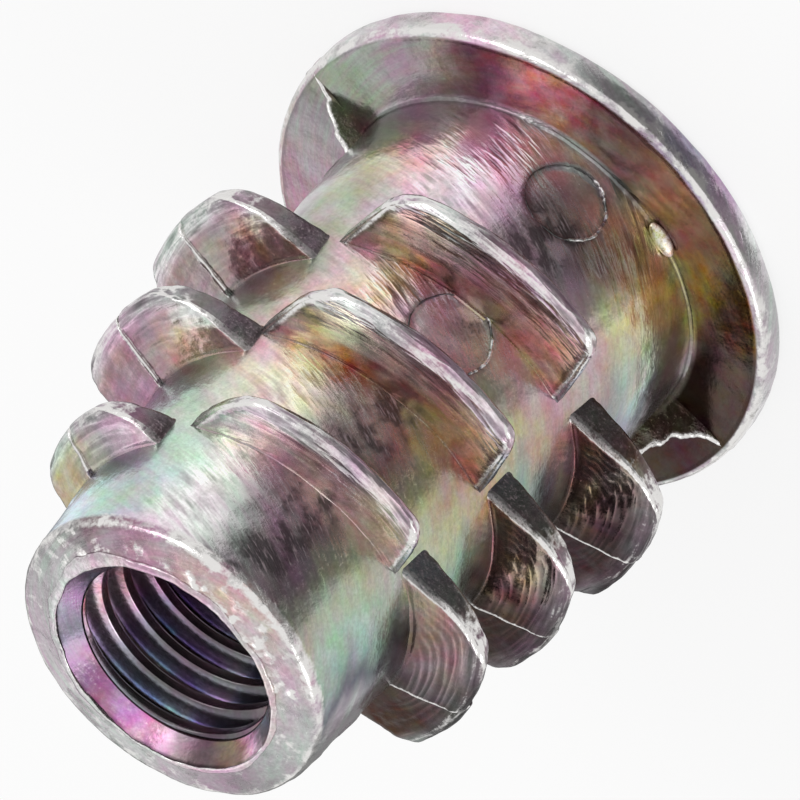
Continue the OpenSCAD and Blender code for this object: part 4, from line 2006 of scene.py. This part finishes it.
@dataclass
class FlashWeb:
    """A thin, ragged web of flash in the corner between neck and flange."""

    name: str
    bearing: float
    edge: tuple[tuple[float, float], ...]
    finish: ChromateFilm
    seat: float = 1.25
    lean: float = 0.0
    corner: tuple[float, float] = (6.2, -0.35)
    thickness: float = 0.34
    edge_thickness: float = 0.13
    ragged: float = 0.07
    round_from: float = 0.94
    length_steps: int = 90
    width_steps: int = 26

    def build(self) -> bpy.types.Object:
        """Builds the web as a blade from the corner out to its ragged free edge.

        Returns:
            The piece.
        """
        marks = np.array(self.edge)
        travel = np.concatenate(([0], np.cumsum(np.hypot(*np.diff(marks, axis=0).T))))
        s = np.linspace(0, travel[-1], self.length_steps)
        free = np.stack([np.interp(s, travel, marks[:, k]) for k in (0, 1)], axis=1)
        seeds = np.stack((s, np.full_like(s, self.bearing), np.zeros_like(s)), axis=1)
        free += 0.7 * self.ragged * cast_skin(seeds, 0.5, seed=171)[:, None]
        out, side = self._section()
        across = np.array(self.corner) + (free - self.corner)[:, None] * out[:, None]
        reach, height = across[..., 0], across[..., 1] + self.seat
        rings = np.stack((reach, np.broadcast_to(side, reach.shape), height), axis=-1)
        wave = cast_skin(rings.reshape(-1, 3) + self.bearing, 0.9, seed=181).reshape(reach.shape)
        rings[..., 1] += wave * 0.05 + self.lean * np.clip((reach - 7) / 2, 0, 1) ** 1.5
        angle = math.radians(self.bearing)
        sine, cosine = math.sin(angle), math.cos(angle)
        turn = np.array([[cosine, -sine, 0], [sine, cosine, 0], [0, 0, 1]])
        mesh = tube_mesh(rings @ turn.T, closed=False)
        close_ends(mesh, len(out))
        face_outwards(mesh)
        points, _ = mesh_arrays(mesh)
        out = np.tile(out, self.length_steps)
        # Dark film that also paints the shade on the web's faces; the free edge turns silver as a worn edge
        # and a painted highlight.
        tint = Hue.FAWN.linear() * (0.33 - out[:, None] * 0.13) + Hue.SAGE.linear() * out[:, None] * 0.3
        soot_and_shade = 0.3 * ease(-0.2, 0.6, cast_skin(points, 1.2, seed=191))
        Coat(tint=tint, strand=points, wear_and_highlight=ease(0.86, 0.97, out), soot_and_shade=soot_and_shade).put_on(mesh)
        clean(mesh)
        return new_piece(self.name, mesh, self.finish.material())

    def _section(self) -> tuple[np.ndarray, np.ndarray]:
        """The web's section, from the corner along one side to the free edge and back.

        Returns:
            Shares of the way out, and distances to the side.
        """
        out = np.linspace(0, 1, self.width_steps)
        half = self.thickness / 2 * np.minimum(1, out / 0.12)
        half = np.where(out > 0.5, half + (self.edge_thickness / 2 - half) * (out - 0.5) * 2, half)
        past = np.maximum(0, out - self.round_from) / (1 - self.round_from)
        half *= np.sqrt(np.clip(1 - past**2, 0, 1))
        return np.concatenate((out, out[-2:0:-1])), np.concatenate((half, -half[-2:0:-1]))


# Corners of the webs' free edges, as distance from the bore's middle and height above the flange.
LEFT_WEB_EDGE = (
    (9.14, -0.3), (9.0, 0.03), (8.5, 0.14), (8.13, 0.22),
    (7.57, 0.62), (7.13, 0.93), (6.64, 1.2), (6.36, 1.36),
)
RIGHT_WEB_EDGE = (
    (9.04, -0.02), (8.41, 0.2), (7.89, 0.66), (7.46, 1.28), (7.18, 2.14), (6.91, 2.7), (6.36, 2.9),
)


# ---------------------------------------------------------------- studio


@dataclass(frozen=True)
class Softbox:
    """A soft lamp, aimed at the insert."""

    name: str
    bearing: float
    elevation: float
    distance: float
    width: float
    height: float
    strength: float


@dataclass(frozen=True)
class Mat:
    """A dark mat on the floor that only reflections show, as a flag does in a studio."""

    name: str
    start: float
    end: float
    inner: float = 9.6
    outer: float = 300.0
    shade: float = 0.3
    soft: float = 14.0


@dataclass
class Studio:
    """Camera, lamps, pale floor and white surroundings."""

    aim: tuple[float, float, float] = (-0.0625, 0.0, 8.594)
    distance: float = 318.73
    elevation: float = 38.1226
    roll: float = -138.75
    lens: float = 450.0
    lamps: tuple[Softbox, ...] = (
        Softbox("key_lamp", 330, 40, 260, 120, 120, 0.1),
        Softbox("fill_lamp", 195, 30, 260, 120, 120, 0.08),
        Softbox("back_lamp", 80, 45, 280, 140, 100, 0.03),
    )
    mats: tuple[Mat, ...] = (Mat("front_mat", 217, 294), Mat("back_mat", 52, 150))
    mat_steps: int = 25
    floor_half: float = 1500.0
    floor_gap: float = 0.02
    floor_glow: float = 1.015
    glow_share: float = 0.75
    soft_white: float = 0.75

    def camera(self) -> None:
        """Makes the camera and points it at the insert."""
        rise = math.radians(self.elevation)
        back = Vector((0, -math.cos(rise), math.sin(rise)))
        level, up = Vector((1, 0, 0)), back.cross(Vector((1, 0, 0)))
        roll = math.radians(self.roll)
        right = level * math.cos(roll) + up * math.sin(roll)
        above = back.cross(right)
        lens = bpy.data.cameras.new("camera")
        lens.lens = self.lens
        lens.sensor_width = 36
        lens.clip_start, lens.clip_end = 0.01, 10
        camera = new_object("camera", lens)
        stand = Matrix((right, above, back)).transposed().to_4x4()
        stand.translation = (Vector(self.aim) + back * self.distance) * MM
        camera.matrix_world = stand
        bpy.context.scene.camera = camera

    @staticmethod
    def _toward(bearing: float, elevation: float) -> Vector:
        """The direction at a bearing and elevation, as seen from the insert."""
        turn, rise = math.radians(bearing), math.radians(elevation)
        return Vector((math.cos(turn) * math.cos(rise), math.sin(turn) * math.cos(rise), math.sin(rise)))

    def light(self) -> None:
        """Hangs the soft lamps round the insert."""
        for box in self.lamps:
            lamp = bpy.data.lights.new(box.name, "AREA")
            lamp.shape = "RECTANGLE"
            lamp.size, lamp.size_y = box.width * MM, box.height * MM
            lamp.energy = box.strength
            direction = self._toward(box.bearing, box.elevation)
            stand = new_object(box.name, lamp)
            stand.location = (Vector(self.aim) + direction * box.distance) * MM
            stand.rotation_mode = "QUATERNION"
            stand.rotation_quaternion = direction.to_track_quat("Z", "Y")

    def flags(self) -> None:
        """Lays the dark mats, which give the metal something dark to reflect."""
        for mat in self.mats:
            bearing = np.linspace(mat.start, mat.end, self.mat_steps)[:, None]
            points = around_bore(np.array([mat.inner, mat.outer]), np.radians(bearing), self.floor_gap)
            faces = [(k, k + 1, k + 3, k + 2) for k in range(0, 2 * self.mat_steps - 2, 2)]
            mesh = bpy.data.meshes.new(mat.name)
            mesh.from_pydata((points.reshape(-1, 3) * MM).tolist(), [], faces)
            cover = ease(0, mat.soft, bearing - mat.start) * ease(0, mat.soft, mat.end - bearing)
            write_value(mesh, "cover", np.repeat(cover, 2))
            material, graph, cloth = self._paint(mat.name, mat.shade, 1.0, 0.0)
            clear = graph.field("ShaderNodeBsdfTransparent")
            self._blend(graph, graph.mark("cover"), clear, cloth.outputs[0])
            mesh.materials.append(material)
            sheet = new_object(mat.name, mesh)
            sheet.visible_camera = sheet.visible_diffuse = sheet.visible_shadow = False

    @staticmethod
    def _paint(
        name: str, shade: float, roughness: float, gloss: float
    ) -> tuple[bpy.types.Material, Graph, bpy.types.Node]:
        """Makes a plain grey material.

        Args:
            name: its name.
            shade: how light it is.
            roughness: its roughness.
            gloss: its specular level.

        Returns:
            The material, its graph and its shader.
        """
        material, graph, paint = new_material(name)
        paint.inputs["Base Color"].default_value = (shade, shade, shade, 1)
        paint.inputs["Roughness"].default_value = roughness
        paint.inputs["Specular IOR Level"].default_value = gloss
        return material, graph, paint

    @staticmethod
    def _blend(graph: Graph, share: Field, first: object, second: object) -> None:
        """Makes a material's surface go from one shader to another as the share goes from 0 to 1."""
        blend = graph.field("ShaderNodeMixShader", {0: share, 1: first, 2: second})
        graph.feed(graph.tree.nodes["Material Output"].inputs["Surface"], blend)

    @staticmethod
    def _seen(graph: Graph) -> Field:
        """Tells rays that show the surroundings from others.

        Args:
            graph: the material's or the world's graph.

        Returns:
            1 on rays from the camera, in gloss and through glass.
        """
        rays = graph.add("ShaderNodeLightPath")
        camera, gloss, glass = (
            Field(graph, rays.outputs[f"Is {kind} Ray"]) for kind in ("Camera", "Glossy", "Transmission")
        )
        return camera.most(gloss).most(glass)

    def surroundings(self) -> None:
        """Makes the white surroundings and the pale floor, which keeps the insert's shadow."""
        world = bpy.data.worlds.new("surroundings")
        world.use_nodes = True
        graph = Graph(world.node_tree)
        backdrop = world.node_tree.nodes["Background"]
        backdrop.inputs["Color"].default_value = (1, 1, 1, 1)
        graph.feed(backdrop.inputs["Strength"], self._seen(graph).mix(self.soft_white, 1.0))
        bpy.context.scene.world = world

        wide, low = self.floor_half, -self.floor_gap
        corners = np.array([(-wide, -wide, low), (wide, -wide, low), (wide, wide, low), (-wide, wide, low)])
        mesh = bpy.data.meshes.new("floor")
        mesh.from_pydata((corners * MM).tolist(), [], [(0, 1, 2, 3)])
        material, graph, paper = self._paint("pale_floor", 0.93, 0.9, 0.1)
        glow = graph.field("ShaderNodeEmission", {"Strength": self.floor_glow})
        self._blend(graph, self._seen(graph) * self.glow_share, paper.outputs[0], glow)
        mesh.materials.append(material)
        new_object("floor", mesh)


# ---------------------------------------------------------------- the whole insert


def tie_down(piece: bpy.types.Object) -> None:
    """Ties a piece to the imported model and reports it.

    Args:
        piece: the piece.
    """
    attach(piece, BODY)
    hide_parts(NODE)
    mesh = piece.data
    volume = enclosed(mesh)
    log.info("%s: %d triangles, %.2f mm3", piece.name, len(mesh.loop_triangles), volume)


def main() -> None:
    """Builds the studio and the insert, piece by piece."""
    logging.basicConfig(level=logging.INFO, format="%(name)s: %(message)s")
    bpy.context.scene.view_settings.view_transform = "Standard"
    studio = Studio()
    studio.camera()
    studio.light()
    studio.surroundings()
    studio.flags()
    low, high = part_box(NODE)
    casting = Casting(rim_r=(high[0] - low[0]) / 2 / MM, length=high[2] / MM)
    tie_down(casting.build())
    for piece in LugThread(casting).build():
        tie_down(piece)
    tie_down(FineThread(casting).build())
    tie_down(MouthBurr(casting).build())
    for name, height, seed in zip(("low_pin_flash", "high_pin_flash"), casting.pin_heights, (3, 8)):
        tie_down(PinFlash(casting, name, height, seed).build())
    tie_down(Nick(casting).build())
    web_film = ChromateFilm("web_film", grit=0.3)
    tie_down(FlashWeb("left_web", 0, LEFT_WEB_EDGE, web_film, lean=-0.5).build())
    tie_down(FlashWeb("right_web", 180, RIGHT_WEB_EDGE, web_film).build())


if __name__ == "__main__":
    main()
